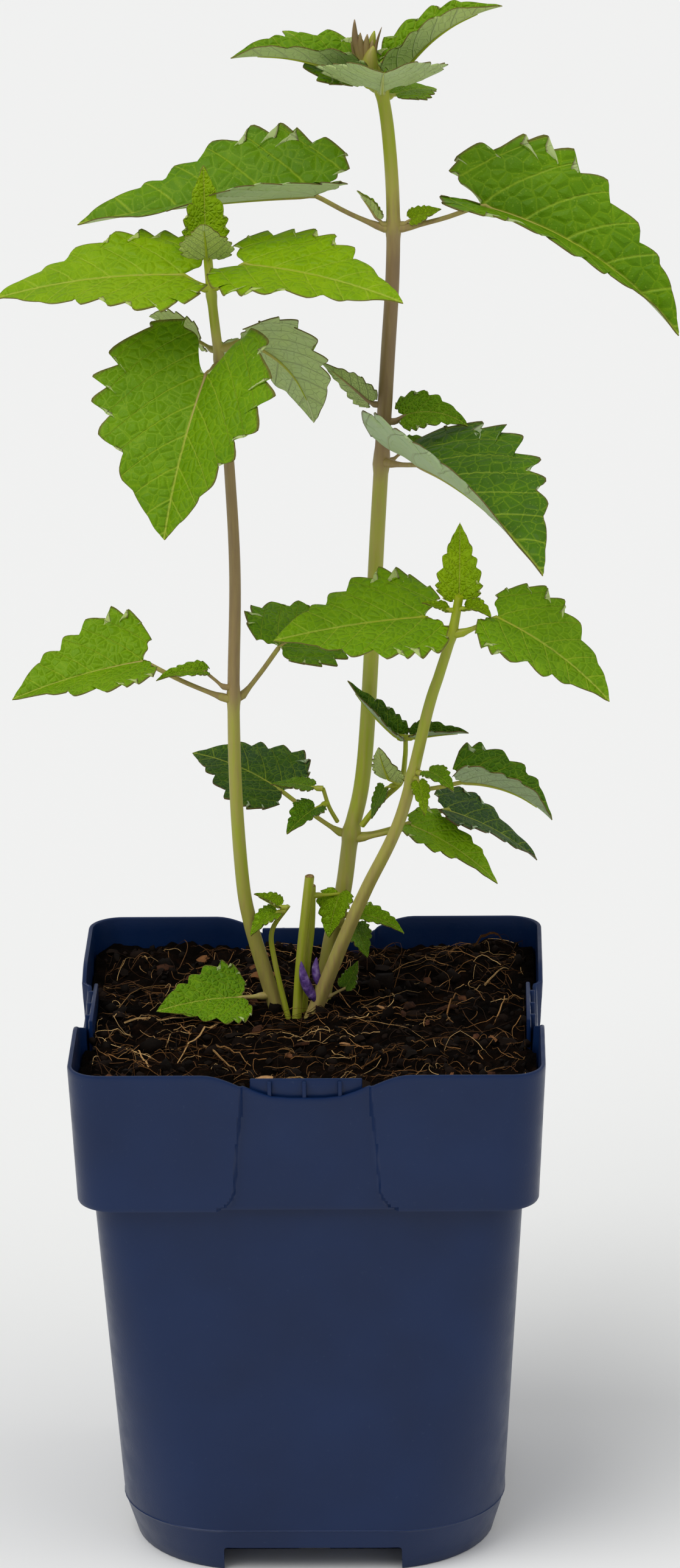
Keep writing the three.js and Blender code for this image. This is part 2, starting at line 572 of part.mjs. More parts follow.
// A bud or a folded petal: round rings that swell between its foot and its tip.
function makeSpindle({ foot, tip, thick }) {
  const [a, b] = [new THREE.Vector3(...foot), new THREE.Vector3(...tip)];
  const axis = b.clone().sub(a).normalize();
  const side = new THREE.Vector3(1, 0, 0).cross(axis).normalize();
  const rings = thick.map((radius, k) => {
    const centre = a.clone().lerp(b, k / (thick.length - 1));
    return Array.from({ length: 8 }, (_, i) => centre.clone()
      .addScaledVector(side.clone().applyAxisAngle(axis, i * Math.PI / 4), radius));
  });
  return loft(rings);
}

// ---- Scene graph ----------------------------------------------------------------------

function finish(color, roughness) {
  return new THREE.MeshStandardMaterial({ color, roughness, metalness: 0 });
}

const plastic = finish(0x1f3359, 0.5);
const peat = finish(0x2b1d14, 1);
const leafGreen = finish(0x4f8a12, 0.6);
const youngGreen = finish(0x84ad1c, 0.6);
const stemBrown = finish(0x857447, 0.6);
const stemGreen = finish(0x7f9a32, 0.6);
const petalPurple = finish(0x56307f, 0.7);
const budBrown = finish(0x7a6a5a, 0.7);

function addPiece(parent, name, geometry, material) {
  const mesh = new THREE.Mesh(geometry, material.clone());
  mesh.name = name;
  parent.add(mesh);
}

const plantedPot = new THREE.Group();
const plant = new THREE.Group();
plantedPot.add(plant);

addPiece(plantedPot, 'pot', toGeometry(makePot()), plastic);
addPiece(plantedPot, 'potting_mix', makeMix(), peat);
for (const [name, stem] of Object.entries(STEMS)) {
  addPiece(plant, name, makeStem(stem), name.includes('stub') ? stemGreen : stemBrown);
}
for (const leaf of LEAVES) {
  const isYoung = leaf.name.includes('upper') || leaf.name.includes('tip');
  addPiece(plant, leaf.name, makeLeaf(leaf), isYoung ? youngGreen : leafGreen);
}
addPiece(plant, 'flower_bud', makeSpindle(BUD), budBrown);
for (const petal of PETALS) addPiece(plantedPot, petal.name, makeSpindle(petal), petalPurple);

export default plantedPot;
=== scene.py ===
"""A young anise hyssop growing in a navy blue nursery pot.

Measures in the tables are millimetres in the part's frame: +Z up, +X the right of the pot
as it faces the viewer, +Y away from the viewer, and the origin under the middle of the pot.
"""

import math
import random
from collections import namedtuple
from functools import partial

import bpy
import numpy as np
from mathutils import Matrix, Vector, noise


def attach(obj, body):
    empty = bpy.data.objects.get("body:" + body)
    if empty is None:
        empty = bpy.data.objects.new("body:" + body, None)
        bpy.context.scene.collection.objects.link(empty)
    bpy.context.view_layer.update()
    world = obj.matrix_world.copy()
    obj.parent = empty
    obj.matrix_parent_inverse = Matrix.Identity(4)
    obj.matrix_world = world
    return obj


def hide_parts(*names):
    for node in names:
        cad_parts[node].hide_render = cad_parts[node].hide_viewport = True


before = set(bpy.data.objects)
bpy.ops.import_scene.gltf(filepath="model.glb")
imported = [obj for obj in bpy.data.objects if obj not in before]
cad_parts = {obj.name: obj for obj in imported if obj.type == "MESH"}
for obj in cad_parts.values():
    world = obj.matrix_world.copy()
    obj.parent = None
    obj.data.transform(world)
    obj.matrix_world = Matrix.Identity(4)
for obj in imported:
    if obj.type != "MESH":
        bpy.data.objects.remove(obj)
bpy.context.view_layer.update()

MM = 0.001

# ---- Stems and leaves, as they grow --------------------------------------------------------

Stem = namedtuple("Stem", "foot tip nodes blush path", defaults=((), ((0, 0), (1, 0)), ()))

# foot and tip are half thicknesses, nodes the heights where leaves sit, blush the brown
# purple tint at heights, and path the middle line from the soil up.
STEMS = {
    "tall_stem": Stem(
        foot=1.95,
        tip=1.35,
        nodes=(163, 254, 309.5, 342),
        blush=(
            (122, 0.35), (163, 0.25), (175, 0.1), (248, 0.25), (258, 0.85), (300, 0.9), (312, 0.45),
            (330, 0.1),
        ),
        path=(
            (2, 17, 120), (4.7, 18, 136.5), (7.6, 18.5, 149), (9.6, 19, 163), (13.1, 19.5, 182.5),
            (16.6, 20.5, 239),
            (19.1, 21.5, 277), (20.5, 22, 298.5), (20.7, 22, 316), (19.7, 22, 332.5), (18, 22, 344),
        ),
    ),
    "left_stem": Stem(
        foot=1.75,
        tip=0.95,
        nodes=(200.2, 282, 297.9),
        blush=(
            (122, 0.5), (160, 0.15), (196, 0.3), (204, 0.7), (250, 0.75), (281, 0.6), (290, 0.15),
            (309, 0.0),
        ),
        path=(
            (-8, 11, 120), (-12, 10.5, 134.5), (-14.5, 10, 144.5), (-16, 9.5, 154.5), (-17.2, 9, 176),
            (-17.4, 8.5, 200),
            (-16.6, 8, 229.5), (-17.3, 7.5, 253), (-18.7, 7, 275), (-20.7, 6.5, 295.5), (-21.8, 6, 310),
        ),
    ),
    "right_stem": Stem(
        foot=1.7,
        tip=0.95,
        nodes=(183, 219),
        blush=((122, 0.55), (150, 0.4), (175, 0.3), (190, 0.15), (215, 0.1), (228, 0.0)),
        path=(
            (-0.3, 7, 120), (4.9, 6, 133.5), (8.8, 5, 143.5), (13.5, 4, 154.5), (21.7, 2, 173),
            (28.2, -1, 200),
            (30.9, -2, 209), (33.9, -3, 219.3), (35.6, -4, 228.5),
        ),
    ),
    "cut_stub_front": Stem(1.05, 1.05, path=((-3.6, 8, 120), (-2.7, 8, 133), (-1.4, 8, 145), (-0.1, 8, 156))),
    "cut_stub_back": Stem(
        0.9, 0.8, path=((-2.1, 11.2, 120), (-1.2, 11.2, 132), (0, 11.2, 142), (0.4, 11.2, 152.5)),
    ),
    "side_shoot": Stem(
        foot=0.7, tip=0.5, nodes=(178,),
        path=((12.2, 17.2, 165.5), (17, 15, 172.5), (21.5, 12.5, 178), (22.6, 12, 184), (22.8, 12, 189)),
    ),
    "low_left_shoot": Stem(foot=0.5, tip=0.45, path=((6.4, 17.2, 166.5), (4.5, 15, 171), (3.2, 13.5, 176))),
    "basal_shoot": Stem(
        foot=0.65, tip=0.5, path=((-5.6, 8.6, 120), (-8.6, 9, 134), (-9.2, 8.8, 142), (-5.2, 8.6, 148.5)),
    ),
}

# height is where the stalk leaves the stem, and heading the way it points seen from above,
# counted from +X. stalk, length and width are sizes, rise is the stalk's slope, and pitch
# the blade's slope from its base to its tip. roll and twist turn it about its midrib, fold
# lifts its halves, curl bends them on, and ease flattens the fold again towards the tip.
# turn swings the blade sideways from the stalk, lobe is how far its base reaches back, and
# the age field runs from 0 for yellow green young growth to 1 for dark old growth; its dark end is partly
# painted shade, darkening the leaves that lie in shade.
Leaf = namedtuple(
    "Leaf",
    "stem height heading stalk rise length width pitch roll twist fold curl ease turn lobe age teeth",
    defaults=(0, 0, 5, 0, 0, 0, 1.0, 0.5, 7),
)

LEAVES = {
    # The rosette under the flower bud, on top of the tall stem.
    "rosette_left": Leaf("tall_stem", 343, 180, 2.5, 30, 31, 20, (30, -8), 5, fold=42, lobe=0, age=0.45),
    "rosette_right": Leaf("tall_stem", 343, 0, 2.5, 55, 30, 18, (58, 12), -5, fold=48, lobe=0, age=0.35),
    "rosette_front": Leaf("tall_stem", 342, 272, 2, 20, 28, 31, (31, 12), fold=4, curl=26, lobe=0),
    "rosette_back": Leaf("tall_stem", 342, 135, 2, 25, 30, 26, (25, 8), lobe=0, age=0.4),
    "rosette_side": Leaf("tall_stem", 340, 50, 2, 10, 15, 15, (5, -15), -10, fold=5, age=0.3),
    # The tall stem's big upper pair, with a young leaf in each axil.
    "tall_left_leaf": Leaf(
        "tall_stem", 309.5, 176, 17.5, 30, 56, 38, (-3, -12), 8, 6, fold=(34, 42), ease=0.5, lobe=1.6,
        age=0.5, teeth=9,
    ),
    "tall_right_leaf": Leaf(
        "tall_stem", 309.5, 0, 18.6, 19, 56, 38, (-12, -52), -28, fold=37, turn=-10, lobe=1.8, age=0.5,
        teeth=9,
    ),
    "tall_left_bud_leaf": Leaf("tall_stem", 310.5, 185, 2, 60, 8, 5, (60, 50), fold=45, age=0.2),
    "tall_right_bud_leaf": Leaf("tall_stem", 310.5, -5, 2, 40, 7.5, 6, (25, 15), -35, fold=10, age=0.1),
    # The tip of the left stem.
    "left_tip_leaf": Leaf("left_stem", 309, 100, 0.5, 80, 18, 11, (84, 88), fold=10, age=0.15),
    "left_tip_front_leaf": Leaf("left_stem", 307, 268, 0.5, 50, 14, 12.6, (55, 38), fold=5, age=0.1),
    # The left stem's bright upper pair.
    "left_upper_left_leaf": Leaf(
        "left_stem", 299.5, 180, 5.5, 42, 44, 34, (2, -16), 19, fold=5, lobe=1.4, age=0.2, teeth=8,
    ),
    "left_upper_right_leaf": Leaf(
        "left_stem", 300, -8, 8, 50, 42, 34, (2, -14), -14, fold=5, turn=-20, lobe=1.4, age=0.22, teeth=8,
    ),
    # The left stem's second pair and a leaf behind it.
    "left_front_leaf": Leaf(
        "left_stem", 281, 248, 6, 0, 40, 50, (-50, -72), fold=18, turn=-8, lobe=3, age=0.42, teeth=7,
    ),
    "left_back_left_leaf": Leaf("left_stem", 284.5, 140, 4, 25, 16, 15, (25, 0), -50, age=0.3),
    "left_back_right_leaf": Leaf("left_stem", 285, 25, 4, 25, 30, 32, (-20, -80), 30, fold=5, age=0.5),
    # Small leaves in the middle of the tall stem.
    "tall_mid_left_leaf": Leaf("tall_stem", 267.5, 170, 1.5, 40, 14, 9, (42, 35), -60, fold=5, age=0.4),
    "tall_mid_right_leaf": Leaf("tall_stem", 263.5, 0, 2.5, 40, 16, 12, (20, -40), -35, fold=8, age=0.45),
    # The tall stem's second pair: the big one hangs forward, the other is small.
    "tall_front_leaf": Leaf(
        "tall_stem", 254, 312, 10, 12, 52, 46, (-2, -32), -10, fold=(8, 44), curl=(0, 24), turn=-6,
        lobe=2.2, age=0.75, teeth=8,
    ),
    "tall_small_leaf": Leaf("tall_stem", 254, 20, 4, 40, 9, 8, (20, 0), -20, fold=5, age=0.3),
    # The left stem's lowest pair on long stalks, and a young leaf in the left axil.
    "left_low_left_leaf": Leaf(
        "left_stem", 200.2, 180, 21, 30, 32, 30, (-8, -22), 24, fold=20, turn=6, age=0.35,
    ),
    "left_low_right_leaf": Leaf("left_stem", 200.2, 35, 15, 50, 30, 28, (10, -15), -20, turn=12),
    "left_low_bud_leaf": Leaf("left_stem", 203, 190, 6, 50, 12, 6, (10, -25), 20, fold=15, age=0.3),
    # The tip of the right stem.
    "right_tip_leaf": Leaf("right_stem", 227.5, 85, 0.5, 80, 17, 11, (78, 85), fold=8, age=0.1),
    "right_tip_left_leaf": Leaf("right_stem", 225, 180, 0.5, 20, 6, 4, (25, 10), 20, fold=20, age=0.1),
    "right_tip_right_leaf": Leaf(
        "right_stem", 225.5, -25, 0.5, 20, 7, 6, (25, -50), -20, fold=25, age=0.15,
    ),
    # The right stem's upper pair.
    "right_upper_left_leaf": Leaf(
        "right_stem", 219.3, 180, 6, 50, 36, 33, (0, -10), 23, fold=5, turn=13, lobe=1.4, age=0.35,
        teeth=8,
    ),
    "right_upper_right_leaf": Leaf(
        "right_stem", 219.3, -5, 9.5, 30, 33, 26, (-20, -45), -25, fold=10, turn=-15, age=0.4,
    ),
    # The right stem's lower leaves.
    "right_low_right_leaf": Leaf("right_stem", 179.5, 0, 10.5, 14, 24, 20, (0, -48), -5, fold=45, age=0.75),
    "right_low_small_leaf": Leaf("right_stem", 184.5, -45, 3, 25, 9, 7, (0, -40), -10, fold=10, age=0.4),
    "right_low_pale_leaf": Leaf("right_stem", 183, -60, 1, -30, 8, 5, (-60, -75), fold=5, age=0.1),
    # The tall stem's lowest pair and the shoots in its axils.
    "tall_low_left_leaf": Leaf(
        "tall_stem", 163, 165, 17, 38, 26, 27, (25, 0), 15, fold=5, turn=-15, age=0.9,
    ),
    "tall_low_light_leaf": Leaf("tall_stem", 162, -14, 13, 22, 25, 17, (-18, -45), -10, fold=10, age=0.3),
    "tall_low_right_leaf": Leaf("tall_stem", 162, 12, 21, 17, 27, 22, (-20, -45), -10, fold=10, age=0.95),
    "low_left_shoot_back_leaf": Leaf("low_left_shoot", 176, 170, 1.5, 20, 10, 8, (10, -10), 5, age=0.5),
    "low_left_shoot_front_leaf": Leaf(
        "low_left_shoot", 172, 230, 3, 0, 11, 9, (-10, -30), 10, fold=20, age=0.7,
    ),
    "side_shoot_left_leaf": Leaf("side_shoot", 189, 178, 0.5, 45, 18, 9, (40, 60), 20, fold=40, age=0.8),
    "side_shoot_right_leaf": Leaf("side_shoot", 189, 0, 0.5, 20, 13, 8, (10, 0), -10, fold=40, age=0.8),
    "side_shoot_low_left_leaf": Leaf("side_shoot", 178, 230, 3, 40, 9.5, 10, (60, 75), age=0.3),
    "side_shoot_low_right_leaf": Leaf("side_shoot", 177, 200, 2, -10, 8, 8, (-60, -70), age=0.7),
    # Young leaves round the foot of the plant.
    "basal_top_leaf": Leaf("basal_shoot", 148, 174, 0.6, 25, 6.6, 7, (30, 25), 5, fold=25, age=0.2),
    "basal_left_leaf": Leaf("basal_shoot", 147, 205, 0.6, 0, 8.5, 7.5, (-15, -55), 10, fold=15, age=0.3),
    "centre_front_leaf": Leaf(
        "cut_stub_back", 150, 15, 5, 0, 11, 10, (-50, -72), fold=15, turn=225, age=0.25,
    ),
    "centre_right_leaf": Leaf("tall_stem", 143, -25, 3, 20, 12.5, 7, (0, -30), -20, fold=20, age=0.35),
    "centre_droop_leaf": Leaf("tall_stem", 140, -30, 3, 15, 8, 10, (-55, -75), age=0.5),
    "round_foot_leaf": Leaf("right_stem", 126, 30, 4.5, 20, 7, 8, (50, 70), age=0.7),
    "soil_leaf": Leaf("left_stem", 125.2, 197, 5, 5, 21, 20, (5, -12), 30, fold=10, age=0.5),
}

# Half outline of a blade: distance along the midrib over the length, and from it over half
# the width. The base is heart shaped, so its lobes reach behind the stalk.
OUTLINE = ((0, 0.05), (-0.09, 0.3), (-0.08, 0.66), (0.02, 0.94), (0.15, 1), (0.34, 0.89), (0.55, 0.65),
           (0.75, 0.38), (0.9, 0.16), (1, 0.0))
LEAF_THICKNESS = 0.26
STALK_RADIUS = 0.58
VEIN_SPACING = 0.19  # between side veins, over the blade's length
VEIN_SLANT = 0.75  # how far a side vein runs forward for each step outwards
VEIN_SWEEP = 0.8  # and how much more it bends forward near the margin

# ---- Shaping helpers -----------------------------------------------------------------------


def rows_of(*points):
    return np.array(points, float)


def along_curve(points, t):
    """Points of a Catmull-Rom curve through the given points, at each t from 0 to 1."""
    p = np.asarray(points, float)
    last = len(p) - 1
    p = np.vstack([2 * p[0] - p[1], p, 2 * p[-1] - p[-2]])
    x = np.clip(np.atleast_1d(t), 0, 1) * last
    i = np.minimum(x.astype(int), last - 1)
    f = (x - i)[:, None]
    a, b, c, d = p[i], p[i + 1], p[i + 2], p[i + 3]
    return 0.5 * (2 * b + (c - a) * f + (2 * a - 5 * b + 4 * c - d) * f**2 + (3 * b - a - 3 * c + d) * f**3)


def smoothstep(low, high, x):
    f = np.clip((x - low) / (high - low), 0, 1)
    return f * f * (3 - 2 * f)


def unit(v):
    return v / np.linalg.norm(v, axis=-1, keepdims=True)


def towards(heading, pitch):
    """Unit directions from headings and pitches in degrees."""
    h, p = np.broadcast_arrays(np.radians(heading), np.radians(pitch))
    return np.stack([np.cos(h) * np.cos(p), np.sin(h) * np.cos(p), np.sin(p)], -1)


def deselect():
    if bpy.context.object and bpy.context.object.mode != "OBJECT":
        bpy.ops.object.mode_set(mode="OBJECT")
    bpy.ops.object.select_all(action="DESELECT")


def work_on(*pieces):
    deselect()
    for piece in pieces:
        piece.select_set(True)
    bpy.context.view_layer.objects.active = pieces[0]


def in_edit_mode(piece, *steps):
    """Runs each step in edit mode with the whole piece selected."""
    work_on(piece)
    bpy.ops.object.mode_set(mode="EDIT")
    for step in steps:
        bpy.ops.mesh.select_all(action="SELECT")
        step()
    bpy.ops.object.mode_set(mode="OBJECT")


def join_seams():
    bpy.ops.mesh.remove_doubles(threshold=1e-6)


def close_ends():
    bpy.ops.mesh.select_all(action="DESELECT")
    bpy.ops.mesh.select_non_manifold()
    bpy.ops.mesh.fill_holes(sides=0)


def face_outwards():
    bpy.ops.mesh.normals_make_consistent(inside=False)


def apply_modifier(piece, kind, **settings):
    work_on(piece)
    modifier = piece.modifiers.new(kind.title(), kind)
    for setting, value in settings.items():
        setattr(modifier, setting, value)
    bpy.ops.object.modifier_apply(modifier=modifier.name)


def join(pieces, name):
    work_on(*pieces)
    if len(pieces) > 1:
        bpy.ops.object.join()
    piece = bpy.context.object
    piece.name = name
    piece.data.name = name
    return piece


def place_applied(piece):
    work_on(piece)
    bpy.ops.object.transform_apply(location=True, rotation=True, scale=True)


def sheet(name, across, along, place):
    """A grid primitive whose points are moved to place(u, v), in millimetres."""
    deselect()
    bpy.ops.mesh.primitive_grid_add(x_subdivisions=across, y_subdivisions=along, size=1)
    piece = bpy.context.object
    piece.name = piece.data.name = name
    points = np.zeros(3 * len(piece.data.vertices))
    piece.data.vertices.foreach_get("co", points)
    flat = points.reshape(-1, 3) + 0.5
    placed = place(flat[:, 0], flat[:, 1])
    piece.data.vertices.foreach_set("co", (placed * MM).ravel())
    piece.data.update()
    return piece, flat


def tube(name, middle, radius, sides=12, rings=24, square=0.0):
    """A closed tube along middle(v) of radius(v), with a squarish section when square > 0."""

    def place(u, v):
        centre = middle(v)
        ahead = unit(middle(np.minimum(v + 0.01, 1.0)) - middle(np.maximum(v - 0.01, 0.0)))
        right = unit(np.cross(ahead, rows_of(0.03, 1, 0.02)))
        front = np.cross(right, ahead)
        turn = 2 * math.pi * u
        r = radius(v) * (1 + square * np.cos(4 * turn))
        return centre + right * (r * np.cos(turn))[:, None] + front * (r * np.sin(turn))[:, None]

    piece, _ = sheet(name, sides, rings, place)
    in_edit_mode(piece, join_seams, close_ends, face_outwards)
    return piece


def ball(name, centre, size, subdivisions=2):
    deselect()
    bpy.ops.mesh.primitive_ico_sphere_add(subdivisions=subdivisions, radius=1, location=rows_of(*centre) * MM)
    piece = bpy.context.object
    piece.name = piece.data.name = name
    piece.scale = Vector(size) * MM
    place_applied(piece)
    return piece


def block(name, low, high, bevel=0.3, segments=2):
    """A box between two corners, with rounded edges."""
    deselect()
    middle = [(a + b) / 2 * MM for a, b in zip(low, high)]
    bpy.ops.mesh.primitive_cube_add(size=1, location=middle)
    piece = bpy.context.object
    piece.name = piece.data.name = name
    piece.scale = [(b - a) * MM for a, b in zip(low, high)]
    place_applied(piece)
    if bevel:
        apply_modifier(piece, "BEVEL", width=bevel * MM, segments=segments)
    return piece


def on_four_sides(piece):
    """The piece and copies of it turned to the pot's other sides."""
    copies = [piece]
    for quarter in (1, 2, 3):
        work_on(piece)
        bpy.ops.object.duplicate()
        copy = bpy.context.object
        copy.rotation_euler = (0, 0, quarter * math.pi / 2)
        place_applied(copy)
        copies.append(copy)
    return copies


def cut(piece, *cutters):
    """Takes the cutters' space out of the piece."""
    for cutter in cutters:
        apply_modifier(piece, "BOOLEAN", operation="DIFFERENCE", solver="EXACT", object=cutter)
        bpy.data.objects.remove(cutter)


def write_attribute(piece, name, values):
    attribute = piece.data.attributes.new(name, "FLOAT", "POINT")
    attribute.data.foreach_set("value", np.asarray(values, np.float32))


def points_of(piece):
    points = np.zeros(3 * len(piece.data.vertices))
    piece.data.vertices.foreach_get("co", points)
    return points.reshape(-1, 3) / MM


def smooth(piece, angle=None):
    work_on(piece)
    if angle is None:
        bpy.ops.object.shade_smooth()
    else:
        bpy.ops.object.shade_smooth_by_angle(angle=math.radians(angle))


def finish_piece(piece, slot, *nodes):
    """Hangs a finished piece on the part, and hides the CAD nodes that it stands for."""
    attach(piece, "root")
    if nodes:
        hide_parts(*nodes)


# ---- Materials -----------------------------------------------------------------------------


def colour(hex_value):
    """sRGB hex to linear red, green, blue and alpha."""
    channels = [int(hex_value[i : i + 2], 16) / 255 for i in (1, 3, 5)]
    linear = [c / 12.92 if c <= 0.04045 else ((c + 0.055) / 1.055) ** 2.4 for c in channels]
    return (*linear, 1.0)


def set_inputs(material, node, inputs):
    """An input given a socket is linked to it, and any other is set."""
    named = inputs if isinstance(inputs, dict) else dict(enumerate(inputs))
    for name, value in named.items():
        if isinstance(value, bpy.types.NodeSocket):
            material.node_tree.links.new(value, node.inputs[name])
        else:
            node.inputs[name].default_value = value


def add(material, kind, inputs=(), output=0, stops=(), **settings):
    """Adds a shader node and gives one of its outputs. Stops are a ramp's places and colours."""
    node = material.node_tree.nodes.new("ShaderNode" + kind)
    for setting, value in settings.items():
        setattr(node, setting, value)
    set_inputs(material, node, inputs)
    if stops:
        elements = node.color_ramp.elements
        while len(elements) < len(stops):
            elements.new(0.5)
        for element, (position, hex_value) in zip(elements, stops):
            element.position = position
            element.color = colour(hex_value)
    return node.outputs[output]


def new_material(name, **shader_values):
    """A material, its shader, and a function that adds a node to it."""
    material = bpy.data.materials.new(name)
    material.use_nodes = True
    shader = material.node_tree.nodes["Principled BSDF"]
    set_inputs(material, shader, {socket.replace("_", " "): value for socket, value in shader_values.items()})
    return material, shader, partial(add, material)


def features(place, size_mm, detail=3.0, roughness=0.55):
    """Inputs of a noise whose features have a real size."""
    return {"Vector": place, "Scale": 1 / (size_mm * MM), "Detail": detail, "Roughness": roughness}


def overlay(node, base, *layers):
    """Lays colours over a base, each as strong as its mask."""
    for mask, strength, hex_value in layers:
        amount = node("Math", (mask, strength), operation="MULTIPLY")
        base = node("Mix", {0: amount, 6: base, 7: colour(hex_value)}, 2, data_type="RGBA")
    return base


def leaf_veins(node):
    """The blade's flat coordinates, masks of its midrib, side veins and the fine net between
    them, and the distance to that net."""
    uv = node("UVMap", uv_map="blade")
    along = node("SeparateXYZ", (uv,), "X")
    across = node("SeparateXYZ", (uv,), "Y")
    out = node("Math", (across,), operation="ABSOLUTE")
    slant = node("Math", (out, VEIN_SLANT), operation="MULTIPLY")
    curve = node("Math", (out, 2.0), operation="POWER")
    sweep = node("Math", (curve, VEIN_SWEEP), operation="MULTIPLY")
    straight = node("Math", (along, slant), operation="SUBTRACT")
    root = node("Math", (straight, sweep), operation="SUBTRACT")
    spaced = node("Math", (root, VEIN_SPACING), operation="DIVIDE")
    phase = node("Math", (spaced, 0.5), operation="PINGPONG")
    width = node("MapRange", (out, 0.0, 0.42, 0.06, 0.028), interpolation_type="SMOOTHSTEP")
    share = node("Math", (phase, width), operation="DIVIDE")
    fade = node("Math", (1.0, share), operation="SUBTRACT")
    side = node("Math", (fade, 0.0), operation="MAXIMUM")
    midrib = node("MapRange", (out, 0.003, 0.013, 1.0, 0.0), interpolation_type="SMOOTHSTEP")
    cell = node("TexVoronoi", {"Vector": uv, "Scale": 17.0}, "Distance", feature="DISTANCE_TO_EDGE")
    net = node("MapRange", (cell, 0.0, 0.07, 1.0, 0.0), interpolation_type="SMOOTHSTEP")
    return uv, midrib, side, net, cell


def make_leaf_top():
    """Living leaf, upper side: waxy skin with a soft gloss over bright green, and the flesh
    under it lets some light spread. Veins are paler and sunk, and the teeth are edged brown
    purple."""
    material, shader, node = new_material(
        "hyssop leaf upper side", Roughness=0.48, Specular_IOR_Level=0.16, IOR=1.45,
        Subsurface_Weight=0.12, Subsurface_Radius=(0.5, 0.9, 0.1), Subsurface_Scale=0.8 * MM,
    )
    place = node("TexCoord", output="Object")
    uv, midrib, side, net, cell = leaf_veins(node)
    # Per leaf tone, from young yellow green to dark old growth; the dark end is partly painted shade, for
    # leaves that lie in shade.
    age = node("Attribute", output="Fac", attribute_name="age")
    margin = node("Attribute", output="Fac", attribute_name="margin")
    patches = node("TexNoise", features(place, 9.0, 2.0))
    shade = node("Math", (patches, 0.34, -0.17), operation="MULTIPLY_ADD")
    tone = node("Math", (age, shade), operation="ADD")
    base = node(
        "ValToRGB", (tone,),
        stops=((0.0, "#96b502"), (0.3, "#729a01"), (0.6, "#517c02"), (0.85, "#3d6010"), (1.0, "#324f2a")),
    )
    pores = node("TexVoronoi", {"Vector": uv, "Scale": 64.0}, "Distance", feature="F1")
    dots = node("MapRange", (pores, 0.1, 0.24, 0.28, 0.0), interpolation_type="SMOOTHSTEP")
    edge = node("MapRange", (margin, 0.955, 1.0), interpolation_type="SMOOTHSTEP")
    base = overlay(
        node, base, (dots, 1.0, "#a9c03c"), (net, 0.2, "#9db81c"), (side, 0.42, "#b4c93a"),
        (midrib, 0.6, "#b3bf48"), (edge, 0.75, "#6a4a34"),
    )
    veins = node("Math", (side, midrib), operation="MAXIMUM")
    sunk = node("Math", (veins, -0.4), operation="MULTIPLY")
    domes = node("MapRange", (cell, 0.0, 0.36), interpolation_type="SMOOTHSTEP")
    pillows = node("Math", (domes, 0.75, sunk), operation="MULTIPLY_ADD")
    # The skin's own grain is near 0.1 mm and is drawn at 0.35 mm so that it shows.
    grain = node("TexNoise", features(place, 0.35, 1.0))
    height = node("Math", (grain, 0.2, pillows), operation="MULTIPLY_ADD")
    normal = node("Bump", {"Height": height, "Distance": 0.42 * MM, "Strength": 1.0})
    set_inputs(material, shader, {"Base Color": base, "Normal": normal})
    return material


def make_leaf_underside():
    """Living leaf, underside: duller and greyer than the top, pale with fine down, and its
    veins stand out."""
    material, shader, node = new_material(
        "hyssop leaf underside", Roughness=0.62, Specular_IOR_Level=0.25, IOR=1.45,
        Subsurface_Weight=0.12, Subsurface_Radius=(0.6, 0.9, 0.3), Subsurface_Scale=0.8 * MM,
    )
    place = node("TexCoord", output="Object")
    _, midrib, side, net, _ = leaf_veins(node)
    # The same per leaf tone, partly painted shade, makes the underside greyer and a little darker.
    age = node("Attribute", output="Fac", attribute_name="age")
    margin = node("Attribute", output="Fac", attribute_name="margin")
    patches = node("TexNoise", features(place, 6.0, 2.0))
    tone = node("Math", (patches, 0.3, age), operation="MULTIPLY_ADD")
    base = node("ValToRGB", (tone,), stops=((0.0, "#bccb5c"), (0.5, "#b0c272"), (1.0, "#a0b48c")))
    large = node("Math", (side, midrib), operation="MAXIMUM")
    fine = node("Math", (net, 0.35), operation="MULTIPLY")
    veins = node("Math", (fine, large), operation="MAXIMUM")
    edge = node("MapRange", (margin, 0.965, 1.0), interpolation_type="SMOOTHSTEP")
    base = overlay(node, base, (veins, 0.5, "#c6cf98"), (edge, 0.7, "#5c4232"))
    normal = node("Bump", {"Height": veins, "Distance": 0.4 * MM, "Strength": 0.9})
    set_inputs(material, shader, {"Base Color": base, "Normal": normal})
    return material


def make_stem_skin():
    """Living mint family stem: ribbed green skin with a satin gloss, flushed brown purple
    where the light reaches it. Fine streaks run along it."""
    material, shader, node = new_material(
        "hyssop stem skin", Roughness=0.42, Specular_IOR_Level=0.4, IOR=1.45,
        Subsurface_Weight=0.1, Subsurface_Radius=(0.6, 0.8, 0.2), Subsurface_Scale=0.8 * MM,
    )
    blush = node("Attribute", output="Fac", attribute_name="blush")
    place = node("TexCoord", output="Object")
    stretched = node("Mapping", {"Vector": place, "Scale": (1.0, 1.0, 0.12)})
    streaks = node("TexNoise", features(stretched, 0.9, 2.0, 0.5))
    shade = node("Math", (streaks, 0.5, -0.25), operation="MULTIPLY_ADD")
    tone = node("Math", (blush, shade), operation="ADD")
    base = node(
        "ValToRGB", (tone,), stops=((0.0, "#9cab14"), (0.3, "#a8a14a"), (0.6, "#998452"), (0.9, "#88704c")),
    )
    normal = node("Bump", {"Height": streaks, "Distance": 0.18 * MM, "Strength": 0.6})
    set_inputs(material, shader, {"Base Color": base, "Normal": normal})
    return material


def make_cut_wood():
    """Dried cut stem end: matt brown pith."""
    material, shader, node = new_material("dried cut stem", Roughness=0.9, Specular_IOR_Level=0.2)
    place = node("TexCoord", output="Object")
    pith = node("TexNoise", features(place, 0.6))
    base = node("ValToRGB", (pith,), stops=((0.3, "#5b4322"), (0.7, "#a58a55")))
    grain = node("TexNoise", features(place, 0.3))
    normal = node("Bump", {"Height": grain, "Distance": 0.15 * MM, "Strength": 1.0})
    set_inputs(material, shader, {"Base Color": base, "Normal": normal})
    return material


